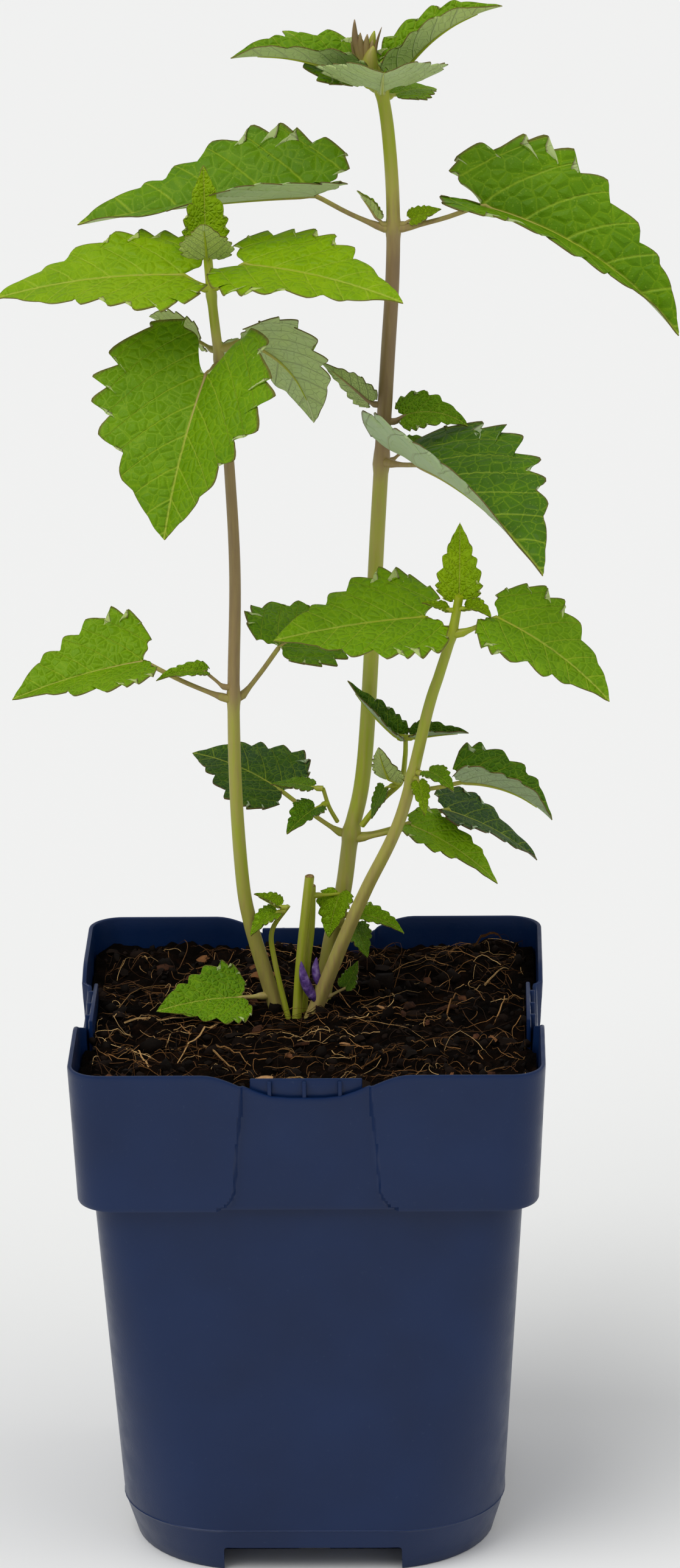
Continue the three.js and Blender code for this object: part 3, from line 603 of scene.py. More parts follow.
def make_pot_plastic():
    """Moulded polypropylene, navy: a satin skin that scatters highlights, with slight sink
    and flow unevenness, faint scuffs and dust."""
    material, shader, node = new_material("moulded navy polypropylene", IOR=1.49, Specular_IOR_Level=0.3)
    place = node("TexCoord", output="Object")
    flow = node("TexNoise", features(place, 26.0, 2.0))
    base = node("ValToRGB", (flow,), stops=((0.3, "#071f45"), (0.7, "#0a244d")))
    specks = node("TexNoise", features(place, 1.1, 4.0, 0.7))
    dust = node("MapRange", (specks, 0.62, 0.78, 0.0, 0.35), interpolation_type="SMOOTHSTEP")
    base = overlay(node, base, (dust, 1.0, "#33425c"))
    rubbed = node("TexNoise", features(place, 5.0, 4.0))
    rough = node("MapRange", (rubbed, 0.3, 0.7, 0.3, 0.4), interpolation_type="SMOOTHSTEP")
    # The mould's spark texture is near 0.1 mm and is drawn at 0.5 mm so that it shows.
    spark = node("TexNoise", features(place, 0.5, 2.0))
    skin = node("Math", (flow, 6.0, spark), operation="MULTIPLY_ADD")
    normal = node("Bump", {"Height": skin, "Distance": 0.05 * MM, "Strength": 0.5})
    set_inputs(material, shader, {"Base Color": base, "Roughness": rough, "Normal": normal})
    return material


def make_peat():
    """Potting peat: black brown crumbs that drink light, with paler fibre flecks."""
    material, shader, node = new_material("potting peat", Roughness=1.0, Specular_IOR_Level=0.05)
    place = node("TexCoord", output="Object")
    lumps = node("TexNoise", features(place, 5.0, 6.0, 0.7))
    base = node(
        "ValToRGB", (lumps,),
        stops=((0.3, "#040201"), (0.5, "#0c0603"), (0.62, "#190e07"), (0.75, "#2c1a0e")),
    )
    fine = node("TexNoise", features(place, 0.9, 3.0, 0.7))
    flecks = node("MapRange", (fine, 0.68, 0.76, 0.0, 0.4), interpolation_type="SMOOTHSTEP")
    base = overlay(node, base, (flecks, 1.0, "#5a3d20"))
    crumbs = node("TexNoise", features(place, 1.3, 6.0, 0.75))
    normal = node("Bump", {"Height": crumbs, "Distance": 1.1 * MM, "Strength": 1.0})
    set_inputs(material, shader, {"Base Color": base, "Normal": normal})
    return material


def make_tinted(name, stops, roughness, grain_mm=0.5):
    """A dry plant material whose tint is written on each bit of it."""
    material, shader, node = new_material(name, Roughness=roughness, Specular_IOR_Level=0.1)
    tint = node("Attribute", output="Fac", attribute_name="tint")
    place = node("TexCoord", output="Object")
    grain = node("TexNoise", features(place, grain_mm))
    shade = node("Math", (grain, 0.3, -0.15), operation="MULTIPLY_ADD")
    tone = node("Math", (tint, shade), operation="ADD")
    base = node("ValToRGB", (tone,), stops=stops)
    normal = node("Bump", {"Height": grain, "Distance": 0.2 * MM, "Strength": 1.0})
    set_inputs(material, shader, {"Base Color": base, "Normal": normal})
    return material


def make_petal():
    """Fresh petal: thin violet tissue with a soft bloom."""
    material, shader, node = new_material(
        "violet petal", Roughness=0.5, Specular_IOR_Level=0.3,
        Subsurface_Weight=0.15, Subsurface_Radius=(0.6, 0.3, 0.8), Subsurface_Scale=0.8 * MM,
    )
    place = node("TexCoord", output="Object")
    tissue = node("TexNoise", features(place, 1.6))
    base = node("ValToRGB", (tissue,), stops=((0.35, "#3c2560"), (0.55, "#634489"), (0.75, "#9280ac")))
    folds = node("TexNoise", features(place, 0.7))
    normal = node("Bump", {"Height": folds, "Distance": 0.2 * MM, "Strength": 1.0})
    set_inputs(material, shader, {"Base Color": base, "Normal": normal})
    return material


leaf_top = make_leaf_top()
leaf_underside = make_leaf_underside()
stem_skin = make_stem_skin()
cut_wood = make_cut_wood()
pot_plastic = make_pot_plastic()
peat = make_peat()
# Coir and root fibre: thin dry strands, from dark brown to straw, with a slight sheen.
fibre = make_tinted(
    "coir fibre", ((0.0, "#1e1208"), (0.4, "#4f3218"), (0.7, "#94683a"), (1.0, "#d2ac72")), 0.6,
)
# Pine bark and wood: matt and splintered, red brown to pale.
bark = make_tinted(
    "bark and wood chips",
    ((0.0, "#0d0805"), (0.3, "#1c110a"), (0.5, "#4a2c1c"), (0.75, "#8d5f38"), (1.0, "#cfa877")), 0.85, 1.2,
)
violet_petal = make_petal()

# ---- Plant ---------------------------------------------------------------------------------


def stem_middle(stem, v):
    return along_curve(stem.path, v)


def stem_reach(stem, height):
    """How far along its path a stem reaches a height, from 0 to 1."""
    v = np.linspace(0, 1, 800)
    return float(np.interp(height, stem_middle(stem, v)[:, 2], v))


def stem_radius(stem, v):
    radius = stem.foot + (stem.tip - stem.foot) * v
    heights = stem_middle(stem, v)[:, 2]
    for node_height in stem.nodes:
        # A node is a low swelling about 3 mm tall.
        radius = radius * (1 + 0.24 * np.exp(-(((heights - node_height) / 1.6) ** 2)))
    return radius


def make_stem(name, stem):
    span = stem.path[-1][2] - stem.path[0][2]
    rings = max(16, int(span / 1.2))
    piece = tube(name, lambda v: stem_middle(stem, v), lambda v: stem_radius(stem, v), 20, rings, square=0.07)
    piece.data.materials.append(stem_skin)
    levels, tints = zip(*stem.blush) if stem.blush[-1][0] > 1 else ((0, 1), (0.12, 0.12))
    write_attribute(piece, "blush", np.interp(points_of(piece)[:, 2], levels, tints))
    smooth(piece, 50)
    return piece


class Blade:
    """The surface of one leaf's blade, and the stalk that carries it."""

    def __init__(self, leaf, seed):
        self.leaf = leaf
        stem = STEMS[leaf.stem]
        v = stem_reach(stem, leaf.height)
        self.radius = float(stem.foot + (stem.tip - stem.foot) * v)
        self.root = stem_middle(stem, v)[0]
        self.start = self.root + towards(leaf.heading, 0) * (self.radius + 0.9)
        self.joint = self.start + towards(leaf.heading, 0.87 * leaf.rise) * leaf.stalk
        self.folds = leaf.fold if isinstance(leaf.fold, tuple) else (leaf.fold, leaf.fold)
        self.curls = leaf.curl if isinstance(leaf.curl, tuple) else (leaf.curl, leaf.curl)
        self.phase = random.Random(seed).uniform(0, 6.28)
        steps = (np.arange(60) + 0.5) / 60
        pitches = leaf.pitch[0] + (leaf.pitch[1] - leaf.pitch[0]) * steps
        walk = np.cumsum(towards(leaf.heading + leaf.turn, pitches) * leaf.length / 60, axis=0)
        self.line = np.vstack([self.joint, self.joint + walk])

    def frame_at(self, x):
        """Places and axes at x, the distance along the blade over its length."""
        leaf = self.leaf
        inside = np.clip(x, 0, 1)
        heading = leaf.heading + leaf.turn
        ahead = towards(heading, leaf.pitch[0] + (leaf.pitch[1] - leaf.pitch[0]) * inside)
        place = np.stack([np.interp(inside * 60, np.arange(61), self.line[:, k]) for k in range(3)], -1)
        place = place + ahead * (leaf.length * (x - inside))[:, None]
        level = np.broadcast_to(towards(heading - 90, 0), ahead.shape)
        above = np.cross(level, ahead)
        turn = np.radians(leaf.roll + leaf.twist * inside)[:, None]
        side = level * np.cos(turn) + above * np.sin(turn)
        return place, side, np.cross(side, ahead)

    def surface(self, u, t):
        """Points of the blade, with u across it from 0 to 1 and t from its base to its tip."""
        leaf = self.leaf
        across = 2 * u - 1
        a = np.abs(across)
        margin = along_curve(OUTLINE, t)
        tooth, depth = self.teeth(t, across)
        middle = t**1.15
        back = np.where(margin[:, 0] < 0, leaf.lobe, 1.0) * margin[:, 0]
        x = middle + (back - middle) * a**1.3 + 0.035 * tooth * depth * a**3
        reach = margin[:, 1] * (1.03 - 0.24 * (1 - tooth) * depth * a**3)
        w = np.maximum(reach, 0) * a * leaf.width / 2
        fold = np.radians(np.where(across >= 0, self.folds[1], self.folds[0]))
        fold = fold * (1 - leaf.ease * np.clip(x, 0, 1))
        curl = np.radians(np.where(across >= 0, self.curls[1], self.curls[0])) * a
        curl = np.where(np.abs(curl) < 1e-4, 1e-4, curl)
        flat = (np.sin(fold + curl) - np.sin(fold)) / curl
        lift = -(np.cos(fold + curl) - np.cos(fold)) / curl
        place, side, above = self.frame_at(x)
        y = w / leaf.length
        relief = self.relief(x, y, t, a, w)
        place = place + side * (w * flat * np.sign(across))[:, None] + above * (w * lift + relief)[:, None]
        return place, x, y * np.sign(across)

    def teeth(self, t, across):
        """Where a margin point lies between notch (0) and tooth tip (1), and how deep the
        teeth are there: they start past the base and fade out before the tip."""
        at = (t - 0.05 + 0.012 * np.sin(19 * t + self.phase + np.sign(across))) * self.leaf.teeth / 0.72
        part = at % 1.0
        rounded = np.sin(math.pi * part**1.35) ** 0.6
        pointed = np.clip(1 - np.abs(part - 0.62) / 0.38, 0, 1)
        tooth = 0.72 * rounded + 0.28 * pointed
        depth = smoothstep(0.02, 0.12, t) * (1 - 0.88 * smoothstep(0.66, 0.82, t))
        uneven = 1 + 0.22 * np.sin(2.4 * np.floor(at) + self.phase * 3 + 2 * np.sign(across))
        return tooth, depth * uneven * (t < 0.985)

    def relief(self, x, y, t, a, w):
        """Height of the quilting between veins, the sunk midrib and the wavy margin."""
        size = self.leaf.length / 50
        phase = (x - VEIN_SLANT * y - VEIN_SWEEP * y * y) / VEIN_SPACING
        quilt = np.abs(np.sin(math.pi * phase)) ** 0.8 * np.minimum(1, 5 * y) * (1 - a**6)
        groove = -np.exp(-((w / (1.1 * size + 0.2)) ** 2))
        wave = np.sin(2 * math.pi * (2.6 * t + 0.3 * np.sign(w)) + self.phase)
        wave = wave * a**3 * np.minimum(1, 6 * (1 - t))
        ladder = np.abs(np.sin(math.pi * (w / (3.4 * size) + 0.35 * np.sin(9 * x)))) ** 0.6
        pillow = quilt * (0.7 + 0.3 * ladder)
        return size * (0.65 * pillow + 0.35 * groove + 0.8 * wave)


def make_blade(name, blade):
    leaf = blade.leaf
    along, across = (112, 38) if leaf.length > 25 else (72, 24) if leaf.length > 12 else (44, 14)
    flat_places = {}

    def place(u, v):
        # Rows crowd towards the margin, so that the thin dark edge is sharp.
        spread = 0.5 + 0.5 * np.sin((u - 0.5) * math.pi * 0.92) / math.sin(0.46 * math.pi)
        points, x, y = blade.surface(spread, v)
        flat_places["uv"] = np.stack([x, y], -1)
        flat_places["margin"] = np.abs(2 * spread - 1)
        return points

    piece, _ = sheet(name, across, along, place)
    corners = np.zeros(len(piece.data.loops), int)
    piece.data.loops.foreach_get("vertex_index", corners)
    layer = piece.data.uv_layers[0] if piece.data.uv_layers else piece.data.uv_layers.new()
    layer.name = "blade"
    layer.data.foreach_set("uv", flat_places["uv"][corners].ravel())
    write_attribute(piece, "margin", flat_places["margin"])
    # Per leaf tone: young to old growth, and partly painted shade for leaves that lie in shade.
    write_attribute(piece, "age", np.full(len(piece.data.vertices), leaf.age))
    piece.data.materials.append(leaf_top)
    piece.data.materials.append(leaf_underside)
    thickness = LEAF_THICKNESS * MM
    apply_modifier(
        piece, "SOLIDIFY", thickness=thickness, offset=-1.0, material_offset=1, material_offset_rim=0,
    )
    return piece


def make_stalk(name, blade):
    """The stalk from inside the stem to the blade, running on under it as the midrib."""
    leaf = blade.leaf
    size = min(1.0, 0.45 + leaf.length / 50)
    rib, _, above = blade.frame_at(np.array([0.04, 0.2, 0.4, 0.6, 0.8]))
    rib = rib - above * (0.32 + 0.2 * size)
    sag = towards(0, 90) * 0.03 * leaf.stalk
    halfway = (blade.start + blade.joint) / 2 - sag
    path = np.vstack([blade.root, blade.start, halfway, blade.joint - above[0] * 0.3, rib])
    lengths = np.concatenate([[0], np.cumsum(np.linalg.norm(np.diff(path, axis=0), axis=1))])
    where = lengths / lengths[-1]

    def middle(v):
        position = np.interp(v, where, np.arange(len(path))) / (len(path) - 1)
        return along_curve(path, position)

    def radius(v):
        base, joint = where[1], where[3]
        stalk = STALK_RADIUS * size * (1 + 0.9 * np.exp(-((np.maximum(v - base, 0) / 0.05) ** 2)))
        ribs = STALK_RADIUS * size * (0.9 - 0.72 * np.clip((v - joint) / (1 - joint), 0, 1))
        return np.where(v < joint, stalk, ribs)

    piece = tube(name, middle, radius, 10, 30)
    piece.data.materials.append(stem_skin)
    stem = STEMS[leaf.stem]
    tint = np.interp(leaf.height, *zip(*stem.blush)) if stem.blush[-1][0] > 1 else 0.1
    away = np.linalg.norm(points_of(piece) - blade.start, axis=1)
    write_attribute(piece, "blush", tint * np.clip(1.25 - away / (leaf.stalk + 14), 0, 1))
    return piece


def make_leaf(name, leaf, seed):
    blade = Blade(leaf, seed)
    piece = join([make_blade(name, blade), make_stalk(name + "_stalk", blade)], name)
    smooth(piece, 60)
    return piece


def make_plant():
    for name, stem in STEMS.items():
        piece = make_stem(name, stem)
        if name.startswith("cut_stub"):
            top = stem.path[-1]
            end = ball(name + "_end", (top[0], top[1], top[2]), (stem.tip * 1.02, stem.tip * 1.02, 0.45))
            end.data.materials.append(cut_wood)
            piece = join([piece, end], name)
            smooth(piece, 50)
        finish_piece(piece, "stem", name)
    for seed, (name, leaf) in enumerate(LEAVES.items()):
        slot = "young_leaf" if "upper" in name or "tip" in name else "leaf"
        finish_piece(make_leaf(name, leaf, seed), slot, name)


make_plant()

# ---- Flower bud and fallen petals ----------------------------------------------------------


def spindle(name, foot, tip, thickness, material):
    """A pointed bud scale or rolled petal from foot to tip."""
    foot, tip = rows_of(*foot), rows_of(*tip)
    bow = np.cross(tip - foot, rows_of(0, 1, 0)) * 0.08

    def middle(v):
        return foot + (tip - foot) * v[:, None] + bow * np.sin(math.pi * v)[:, None]

    def radius(v):
        return thickness * np.sin(math.pi * (0.06 + 0.93 * v) ** 0.8) ** 0.7 + 0.03

    piece = tube(name, middle, radius, 10, 14)
    piece.data.materials.append(material)
    smooth(piece)
    return piece


def make_flower_bud():
    """A bud of narrow bracts round folded pink tissue, standing in the rosette."""
    bracts = (
        ((16.3, 20.8, 343.5), (16.6, 20.2, 352.6), 2.0, 0.3),
        ((15.6, 21.6, 344.5), (12.3, 22, 358.4), 1.0, 0.95),
        ((15.8, 22, 344.5), (13.6, 21.6, 355.4), 1.1, 0.75),
        ((16.4, 22, 344.5), (15.2, 21.8, 355.0), 1.15, 0.7),
        ((17, 22, 344.5), (16.4, 22, 353.6), 1.2, 0.6),
        ((16.8, 23.2, 344.5), (16.8, 24, 355.3), 1.4, 0.15),
        ((17.3, 22, 344.5), (18.5, 22, 356.6), 0.4, 0.9),
        ((16.8, 21, 344), (19.5, 20.5, 349.5), 0.9, 0.35),
        ((15.6, 21, 344), (11.4, 20.8, 353.6), 0.35, 0.9),
    )
    made = []
    for foot, tip, thickness, blush in bracts:
        bract = spindle("bract", foot, tip, thickness, stem_skin)
        up = (points_of(bract)[:, 2] - foot[2]) / (tip[2] - foot[2])
        write_attribute(bract, "blush", blush * np.clip(up * 1.4, 0, 1))
        made.append(bract)
    finish_piece(join(made, "flower_bud"), "flower_bud", "flower_bud")


def make_petals():
    left = spindle("petal_left", (1.2, 6, 125.3), (-2.3, 6, 135.3), 1.25, violet_petal)
    right = spindle("petal_right", (2, 7, 128.8), (1.3, 8, 135.6), 1.0, violet_petal)
    finish_piece(left, "petal", "petal_left")
    finish_piece(right, "petal", "petal_right")


make_flower_bud()
make_petals()

# ---- Pot -----------------------------------------------------------------------------------

POT_WALL = 1.1
RIM = 129.5
COLLAR_FOOT = 95.3
FLOOR_UNDERSIDE = 6.5
SEAM = 11.3

# Height, half width and corner radius of the body and of the collar.
BODY_SHAPE = ((0, 42.6, 28), (11.3, 45.3, 26), (54, 47.5, 16), (96.4, 49.8, 8))
COLLAR_SHAPE = ((95.3, 53.4, 9), (129.5, 55, 8))
# Columns across the middle of a side, crowded where the label panel's edges fall.
PANEL_COLUMNS = (
    0, 4, 8, 11, 12.6, 13.4, 14, 14.5, 15, 15.5, 16, 16.5, 17, 17.5, 18, 18.5, 19.2, 20, 21, 22.5, 24,
)


def shape_at(shape, z):
    table = np.array(shape, float)
    return np.interp(z, table[:, 0], table[:, 1]), np.interp(z, table[:, 0], table[:, 2])


def panel_depth(x, z):
    """How far the label panel is set back: its edges lean out and round off at the foot."""
    lean = 14.8 + 2.2 * np.clip((126 - z) / 28, 0, 1)
    foot = np.clip((100.5 - z) / 4.6, 0, 1)
    half = lean + 4.2 * (1 - np.sqrt(1 - foot**2))
    return 1.4 * (1 - smoothstep(half - 0.5, half + 0.5, np.abs(x)))


def rim_dip(x):
    return 6.0 * (1 - smoothstep(5, 24, np.abs(x)))


def pot_profile():
    """Rows of (height, which shape, inset, panel share) from the foot up the outside, over
    the rim and down the inside."""
    rows = [(0.0, BODY_SHAPE, 0.5), (0.12, BODY_SHAPE, 0.15), (0.5, BODY_SHAPE, 0.0)]
    rows += [(z, BODY_SHAPE, 0.0) for z in (3, 6, 9, 10.6)]
    rows += [(SEAM - 0.22, BODY_SHAPE, 0.0), (SEAM, BODY_SHAPE, -0.18), (SEAM + 0.22, BODY_SHAPE, 0.0)]
    rows += [(z, BODY_SHAPE, 0.0) for z in (12.2, 16, 22, 28, 34, 40, 46, 52, 58, 66, 74, 82, 90, 94, 95.2)]
    rows += [(95.4, COLLAR_SHAPE, 3.2), (95.3, COLLAR_SHAPE, 0.7), (95.45, COLLAR_SHAPE, 0.2)]
    collar = (95.9, 96.6, 97.4, 98.2, 99, 99.8, 100.6, 102, 105, 109, 113, 117, 121, 125, 128)
    rows += [(z, COLLAR_SHAPE, 0.0) for z in collar]
    rows += [(129.1, COLLAR_SHAPE, 0.0), (129.4, COLLAR_SHAPE, 0.15), (129.5, COLLAR_SHAPE, 0.45)]
    rows += [(129.5, COLLAR_SHAPE, 0.7), (129.35, COLLAR_SHAPE, 1.0), (129, COLLAR_SHAPE, 1.1)]
    rows += [(z, COLLAR_SHAPE, 1.1) for z in (126, 120, 114, 108, 102, 99, 97.6)]
    rows += [(97.2, COLLAR_SHAPE, 1.6), (97.1, COLLAR_SHAPE, 3.4)]
    rows += [(z, BODY_SHAPE, 1.1) for z in (96.3, 88, 70, 54, 34, 16, 11, 6, 3)]
    rows += [(0.1, BODY_SHAPE, 1.0), (0.0, BODY_SHAPE, 0.8)]
    return rows


def pot_ring(z, shape, inset):
    """One closed ring of the pot's skin, as points going round from the front."""
    half, corner = shape_at(shape, z)
    half, corner = half - inset, corner - min(inset, 2)
    straight = half - corner
    core = min(1.0, straight / 44) * np.array(PANEL_COLUMNS, float)
    outer = np.linspace(core[-1], straight, 6)[1:]
    right = np.concatenate([core[1:], outer])
    x = np.concatenate([-right[::-1], [0], right])
    depth = panel_depth(x, max(z, 96)) if shape is COLLAR_SHAPE else 0 * x
    lower = rim_dip(x) * smoothstep(106, RIM, z) if shape is COLLAR_SHAPE else 0 * x
    side = np.stack([x, -(half - depth), z - lower], -1)
    turn = np.linspace(-90, 0, 15)[1:-1]
    bend = towards(turn, 0) * corner + rows_of(straight, -straight, 0) + rows_of(0, 0, z)
    quarter = np.vstack([side, bend])
    ring = []
    for cos, sin in ((1, 0), (0, 1), (-1, 0), (0, -1)):
        turned = quarter @ np.array([[cos, sin, 0], [-sin, cos, 0], [0, 0, 1]], float)
        ring.append(turned)
    return np.vstack(ring)


def make_pot_wall():
    rings = np.array([pot_ring(*row) for row in pot_profile()])
    rows, columns = rings.shape[:2]

    def place(u, v):
        row = np.rint(v * rows).astype(int) % rows
        column = np.rint(u * columns).astype(int) % columns
        return rings[row, column]

    wall, _ = sheet("pot", columns, rows, place)
    in_edit_mode(wall, join_seams, face_outwards)
    return wall


def make_floor_plate():
    """The floor that the mix stands on, with a drain hole on each side."""
    rings = [pot_ring(z, BODY_SHAPE, inset) for z, inset in ((6.5, 0.6), (7.6, 0.6))]
    columns = len(rings[0])

    def place(u, v):
        column = np.rint(u * columns).astype(int) % columns
        return np.where(v[:, None] > 0.5, rings[1][column], rings[0][column])

    plate, _ = sheet("pot_floor", columns, 1, place)
    in_edit_mode(plate, join_seams, close_ends, face_outwards)
    for x, y in ((0, 19), (0, -19), (19, 0), (-19, 0)):
        deselect()
        where = (x * MM, y * MM, 7 * MM)
        bpy.ops.mesh.primitive_cylinder_add(vertices=28, radius=2.6 * MM, depth=6 * MM, location=where)
        cut(plate, bpy.context.object)
    return plate


def make_pot():
    wall = make_pot_wall()
    for low, high in (((-21, -60, -1), (21, 60, 6.5)), ((-60, -21, -1), (60, 21, 6.5))):
        cut(wall, block("gate", low, high, bevel=0.8))
    feet = on_four_sides(block("foot", (3.5, 3.5, 0), (31, 31, 7), bevel=0.5, segments=2))
    deselect()
    bpy.ops.mesh.primitive_cylinder_add(vertices=40, radius=8 * MM, depth=7 * MM, location=(0, 0, 3.5 * MM))
    pad = bpy.context.object
    apply_modifier(pad, "BEVEL", width=0.5 * MM, segments=2, limit_method="ANGLE")
    tab = block("label_tab", (-12.9, -51.9, 117), (12.9, -50.9, 127.6), bevel=0.35)
    ribs = [
        block("tab_rib", (x - 0.45, -53.0, 117.5), (x + 0.45, -51.6, 127.2), bevel=0.2)
        for x in (-8.4, -0.4, 7.8)
    ]
    tabs = on_four_sides(join([tab, *ribs], "label_tab"))
    pot = join([wall, make_floor_plate(), pad, *feet, *tabs], "pot")
    pot.data.materials.clear()
    pot.data.materials.append(pot_plastic)
    smooth(pot, 32)
    finish_piece(pot, "pot_plastic", "pot")


make_pot()

# ---- Potting mix ---------------------------------------------------------------------------

MIX_HALF = 53.1
MIX_CORNER = 7.0
PANEL_INSET = 2.3  # the mix stands this much further in behind the label panels


def ground(x, y):
    """Mean height of the mix."""
    crown = np.exp(-((x + 2) ** 2 + (y - 11) ** 2) / 200)
    rolling = 0.4 * np.sin(x / 7 + 1) * np.cos(y / 9) + 0.25 * np.sin(x / 3.7 - y / 5.1)
    mound = 2.6 * np.exp(-(((x - 38) / 12) ** 2) - ((y - 38) / 10) ** 2)
    return 121.3 + 0.012 * y - 0.9 * crown + rolling + mound


def lump(x, y):
    """Height of the crumbs and clods on one point of the mix."""
    clods = noise.noise(Vector((x / 9, y / 9, 3.1)))
    crumbs = noise.noise(Vector((x / 3.6, y / 3.6, 7.7)))
    grit = noise.noise(Vector((x / 1.5, y / 1.5, 1.3)))
    return 2.2 * clods + 1.9 * abs(crumbs) + 0.6 * grit


def mix_height(x, y):
    return float(ground(np.array(x), np.array(y))) + lump(x, y)


def rounded_place(u):
    """Moves points of a square into a square with rounded corners."""
    core = MIX_HALF - MIX_CORNER
    over = np.maximum(np.abs(u) - core, 0)
    far = np.max(over, axis=1)
    length = np.linalg.norm(over, axis=1)
    share = np.where(length > 1e-9, far / np.maximum(length, 1e-9), 1)
    placed = np.sign(u) * (np.minimum(np.abs(u), core) + over * share[:, None])
    beside = 1 - smoothstep(17, 21, np.abs(placed[:, ::-1]))
    outer = smoothstep(42, MIX_HALF, np.abs(placed))
    return placed - np.sign(placed) * PANEL_INSET * beside * outer


def make_mix():
    def place(u, v):
        flat = rounded_place(np.stack([(2 * u - 1) * MIX_HALF, (2 * v - 1) * MIX_HALF], -1))
        heights = ground(flat[:, 0], flat[:, 1]) + np.array([lump(x, y) for x, y in flat])
        return np.column_stack([flat, heights])

    piece, _ = sheet("potting_mix", 190, 190, place)

    def skirt():
        bpy.ops.mesh.region_to_loop()
        for drop, shrink in ((21, 0.985), (3, 0.915), (84, 0.77)):
            bpy.ops.mesh.extrude_edges_move(TRANSFORM_OT_translate={"value": (0, 0, -drop * MM)})
            bpy.ops.transform.resize(value=(shrink, shrink, 1.0), center_override=(0, 0, 0.1))
        bpy.ops.mesh.edge_face_add()

    in_edit_mode(piece, skirt, face_outwards)
    piece.data.materials.append(peat)
    smooth(piece)
    finish_piece(piece, "potting_mix", "potting_mix")


def strew(name, template, count, pose, material, seed):
    """Many copies of a template in one mesh; pose(rng) gives the points' new places and a tint."""
    rng = random.Random(seed)
    base = points_of(template)
    corners = len(template.data.polygons[0].vertices)
    faces = [tuple(face.vertices) for face in template.data.polygons if len(face.vertices) == corners]
    faces = np.array(faces)
    places, tints, polygons = [], [], []
    for i in range(count):
        placed, tint = pose(rng, base)
        places.append(placed)
        tints.append(np.full(len(base), tint))
        polygons.append(faces + i * len(base))
    mesh = bpy.data.meshes.new(name)
    mesh.from_pydata((np.vstack(places) * MM).tolist(), [], np.vstack(polygons).tolist())
    piece = bpy.data.objects.new(name, mesh)
    bpy.context.scene.collection.objects.link(piece)
    write_attribute(piece, "tint", np.concatenate(tints))
    mesh.materials.append(material)
    bpy.data.objects.remove(template)
    smooth(piece, 70)
    finish_piece(piece, "potting_mix")
    return piece


def strand_template():
    """A strand along X from 0 to 1, three sided with eight steps."""

    def place(u, v):
        return np.stack([v, np.cos(2 * math.pi * u), np.sin(2 * math.pi * u)], -1)

    piece, _ = sheet("strand", 3, 8, place)
    in_edit_mode(piece, lambda: bpy.ops.mesh.remove_doubles(threshold=1e-5))
    return piece


def lay_strand(base, start, heading, length, radius, bend, arch, height=None):
    """The template bent along the ground from a start point."""
    s = base[:, 0]
    angle = np.radians(heading) + bend * s
    steps = np.linspace(0, 1, 40)
    turns = np.radians(heading) + bend * steps
    walk = np.cumsum(np.stack([np.cos(turns), np.sin(turns)], -1) * length / 40, 0)
    x = start[0] + np.interp(s, steps, walk[:, 0])
    y = start[1] + np.interp(s, steps, walk[:, 1])
    x, y = np.clip(x, -50.4, 50.4), np.clip(y, -50.4, 50.4)
    stations = sorted(set(np.round(s, 4)))
    order = np.argsort(s)
    under = [[float(np.interp(q, s[order], c[order])) for c in (x, y)] for q in stations]
    ground_line = np.array([mix_height(*point) for point in under])
    floor = np.interp(s, stations, np.maximum(ground_line, np.mean(ground_line) - 0.3))
    taper = radius * (1 - 0.6 * s)
    z = (floor if height is None else height) + 0.15 + arch * np.sin(math.pi * s) + taper * base[:, 2]
    x = x - np.sin(angle) * taper * base[:, 1]
    y = y + np.cos(angle) * taper * base[:, 1]
    return np.stack([x, y, z], -1)


def loose_strand(rng, base):
    start = (rng.uniform(-50, 50), rng.uniform(-50, 50))
    length = min(26, 4 + rng.expovariate(1 / 5.5))
    bend = rng.gauss(0, 1.5)
    arch = abs(rng.gauss(0, 0.6)) + 0.16 * length * rng.random() ** 2
    radius = rng.uniform(0.05, 0.15)
    tint = min(1, max(0, rng.gauss(0.42, 0.34)))
    return lay_strand(base, start, rng.uniform(0, 360), length, radius, bend, arch), tint


# Straws that lie on top: start, heading, length, half thickness, bend, arch and tint.
STRAWS = (
    ((-44.8, -0.6), 10, 24, 0.28, 0.1, 0.8, 0.95),
    ((-21.6, 3.5), 254, 29, 0.3, -0.08, 1.2, 0.85),
    ((-25.1, -13.5), 290, 22, 0.34, 0.15, 0.9, 0.8),
    ((-23.0, -14.5), 296, 17, 0.25, 0.3, 1.4, 0.75),
    ((-5.9, -39.1), 5, 11, 0.25, -0.5, 1.0, 0.9),
    ((41.0, 24.3), 50, 10, 0.3, 0.1, 1.2, 0.9),
    ((-40.3, 24.0), 275, 14, 0.3, 0.2, 1.5, 0.45),
    ((32.0, 6.0), 80, 13, 0.28, -0.3, 2.0, 0.6),
    ((43.5, 1.0), 70, 16, 0.26, 0.4, 1.6, 0.75),
    ((38.0, 46.0), 15, 9, 0.55, 0.1, 2.2, 0.4),
    ((-37.0, -28.0), 120, 12, 0.25, -0.4, 0.9, 0.85),
    ((12.0, -30.0), 35, 14, 0.22, 0.5, 0.8, 0.6),
)


def top_straw(queue):
    def pose(rng, base):
        start, heading, length, radius, bend, arch, tint = queue.pop(0)
        return lay_strand(base, start, heading, length, radius, bend, arch + 0.4), tint

    return pose


def turned(rng, points, size):
    angle = rng.uniform(0, 6.28)
    axis = Vector((rng.gauss(0, 1), rng.gauss(0, 1), rng.gauss(0, 1))).normalized()
    return (points * size) @ np.array(Matrix.Rotation(angle, 3, axis))


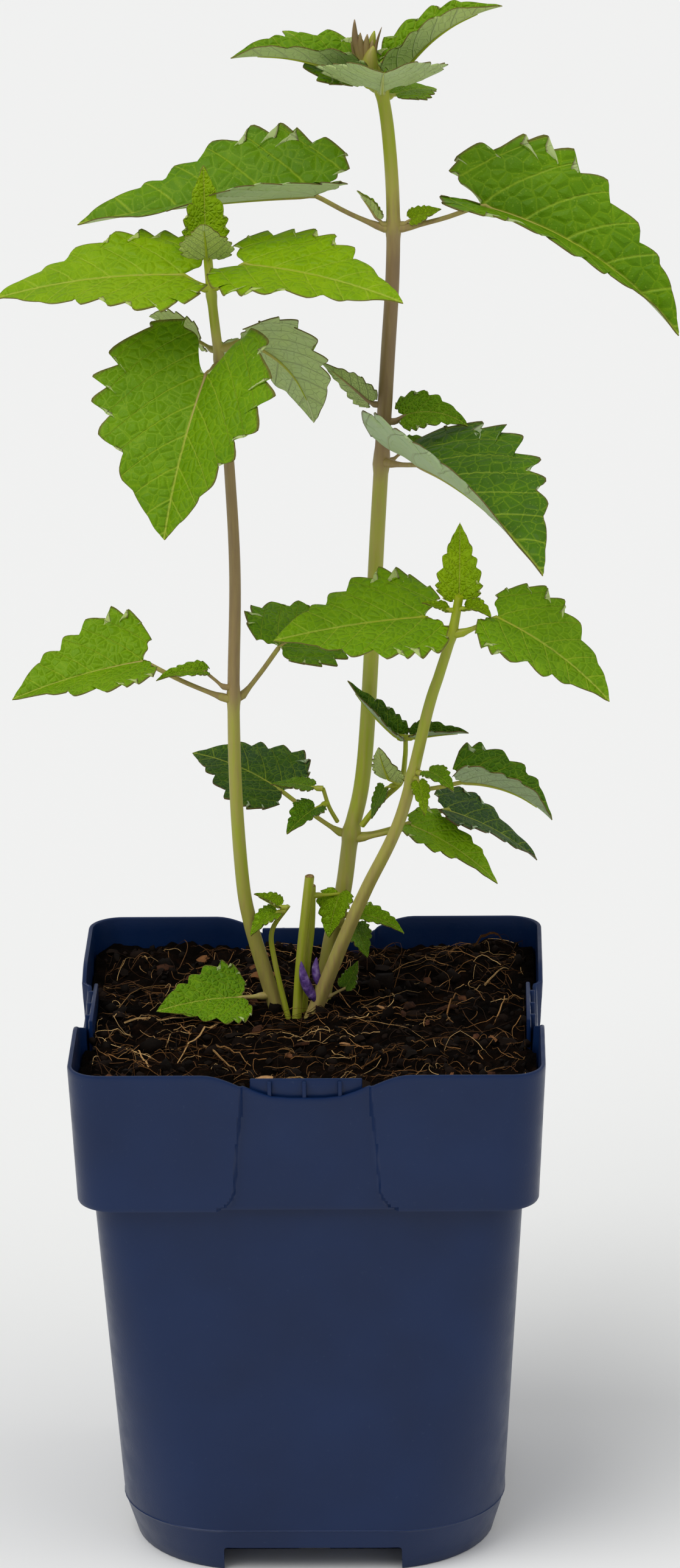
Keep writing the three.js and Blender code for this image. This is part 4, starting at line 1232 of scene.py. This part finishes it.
def crumb(rng, base):
    x, y = rng.uniform(-51, 51), rng.uniform(-51, 51)
    size = rng.uniform(0.3, 0.8) + rng.expovariate(2.8)
    rough = base * (1 + np.array([rng.uniform(-0.4, 0.4) for _ in base])[:, None])
    shape = turned(rng, rough, np.array([size, size * rng.uniform(0.6, 1), size * rng.uniform(0.5, 0.9)]))
    return shape + rows_of(x, y, mix_height(x, y) + 0.3 * size), rng.uniform(0.0, 0.34) ** 1.2


def chip(rng, base):
    x, y = rng.uniform(-47, 47), rng.uniform(-47, 47)
    size = rng.uniform(1.2, 3.0)
    rough = base * (1 + np.array([rng.uniform(-0.3, 0.3) for _ in base])[:, None])
    flat = rough * np.array([size, size * rng.uniform(0.3, 0.6), size * 0.22])
    spin = Matrix.Rotation(rng.uniform(0, 6.28), 3, "Z") @ Matrix.Rotation(rng.gauss(0, 0.4), 3, "X")
    placed = flat @ np.array(spin).T + rows_of(x, y, mix_height(x, y) + 0.5)
    return placed, min(1, max(0, rng.gauss(0.35, 0.25)))


def lump_template(subdivisions):
    return ball("lump", (0, 0, 0), (1, 1, 1), subdivisions)


def make_litter():
    strew("coir_fibres", strand_template(), 900, loose_strand, fibre, 11)
    strew("straws", strand_template(), len(STRAWS), top_straw(list(STRAWS)), fibre, 5)
    strew("peat_crumbs", lump_template(1), 800, crumb, bark, 23)
    strew("bark_chips", lump_template(2), 70, chip, bark, 31)


make_mix()
make_litter()

# ---- Stage: floor, light and camera --------------------------------------------------------


def make_floor():
    deselect()
    bpy.ops.mesh.primitive_plane_add(size=30, location=(0, 0, 0))
    floor = bpy.context.object
    floor.name = "floor"
    paper = colour("#f6f6f4")
    material, _, _ = new_material("matt white paper", Base_Color=paper, Roughness=0.9, Specular_IOR_Level=0.2)
    floor.data.materials.append(material)


def soft_sun(name, place, spread, power):
    """Even light from one side, soft as from a wide screen."""
    bpy.ops.object.light_add(type="SUN", location=place)
    lamp = bpy.context.object
    lamp.name = name
    lamp.data.angle = math.radians(spread)
    lamp.data.energy = power
    lamp.rotation_euler = (-Vector(place)).to_track_quat("-Z", "Y").to_euler()


def make_light():
    world = bpy.data.worlds.new("studio")
    bpy.context.scene.world = world
    world.use_nodes = True
    world.node_tree.nodes["Background"].inputs["Color"].default_value = colour("#fbfcff")
    world.node_tree.nodes["Background"].inputs["Strength"].default_value = 0.42
    soft_sun("key", (-0.5, -0.45, 1.0), 45, 1.55)
    soft_sun("fill", (0.7, -0.3, 0.9), 60, 0.6)


def make_camera():
    """A long lens from in front and above, turned a little about its own axis."""
    yaw, pitch, roll = math.radians(-1.2), math.radians(18.36), math.radians(-0.64)
    ahead = Vector((math.sin(yaw) * math.cos(pitch), math.cos(yaw) * math.cos(pitch), -math.sin(pitch)))
    level = Vector((math.cos(yaw), -math.sin(yaw), 0))
    above = level.cross(ahead)
    right = level * math.cos(roll) + above * math.sin(roll)
    up = above * math.cos(roll) - level * math.sin(roll)
    bpy.ops.object.camera_add()
    camera = bpy.context.object
    turn = Matrix((right, up, -ahead)).transposed().to_4x4()
    camera.matrix_world = Matrix.Translation((0.0386, -1.4855, 0.6747)) @ turn
    camera.data.sensor_width = 36
    camera.data.lens = 153.73
    camera.data.clip_end = 50
    bpy.context.scene.camera = camera


make_floor()
make_light()
make_camera()
bpy.context.scene.view_settings.view_transform = "Standard"

bpy.context.view_layer.update()
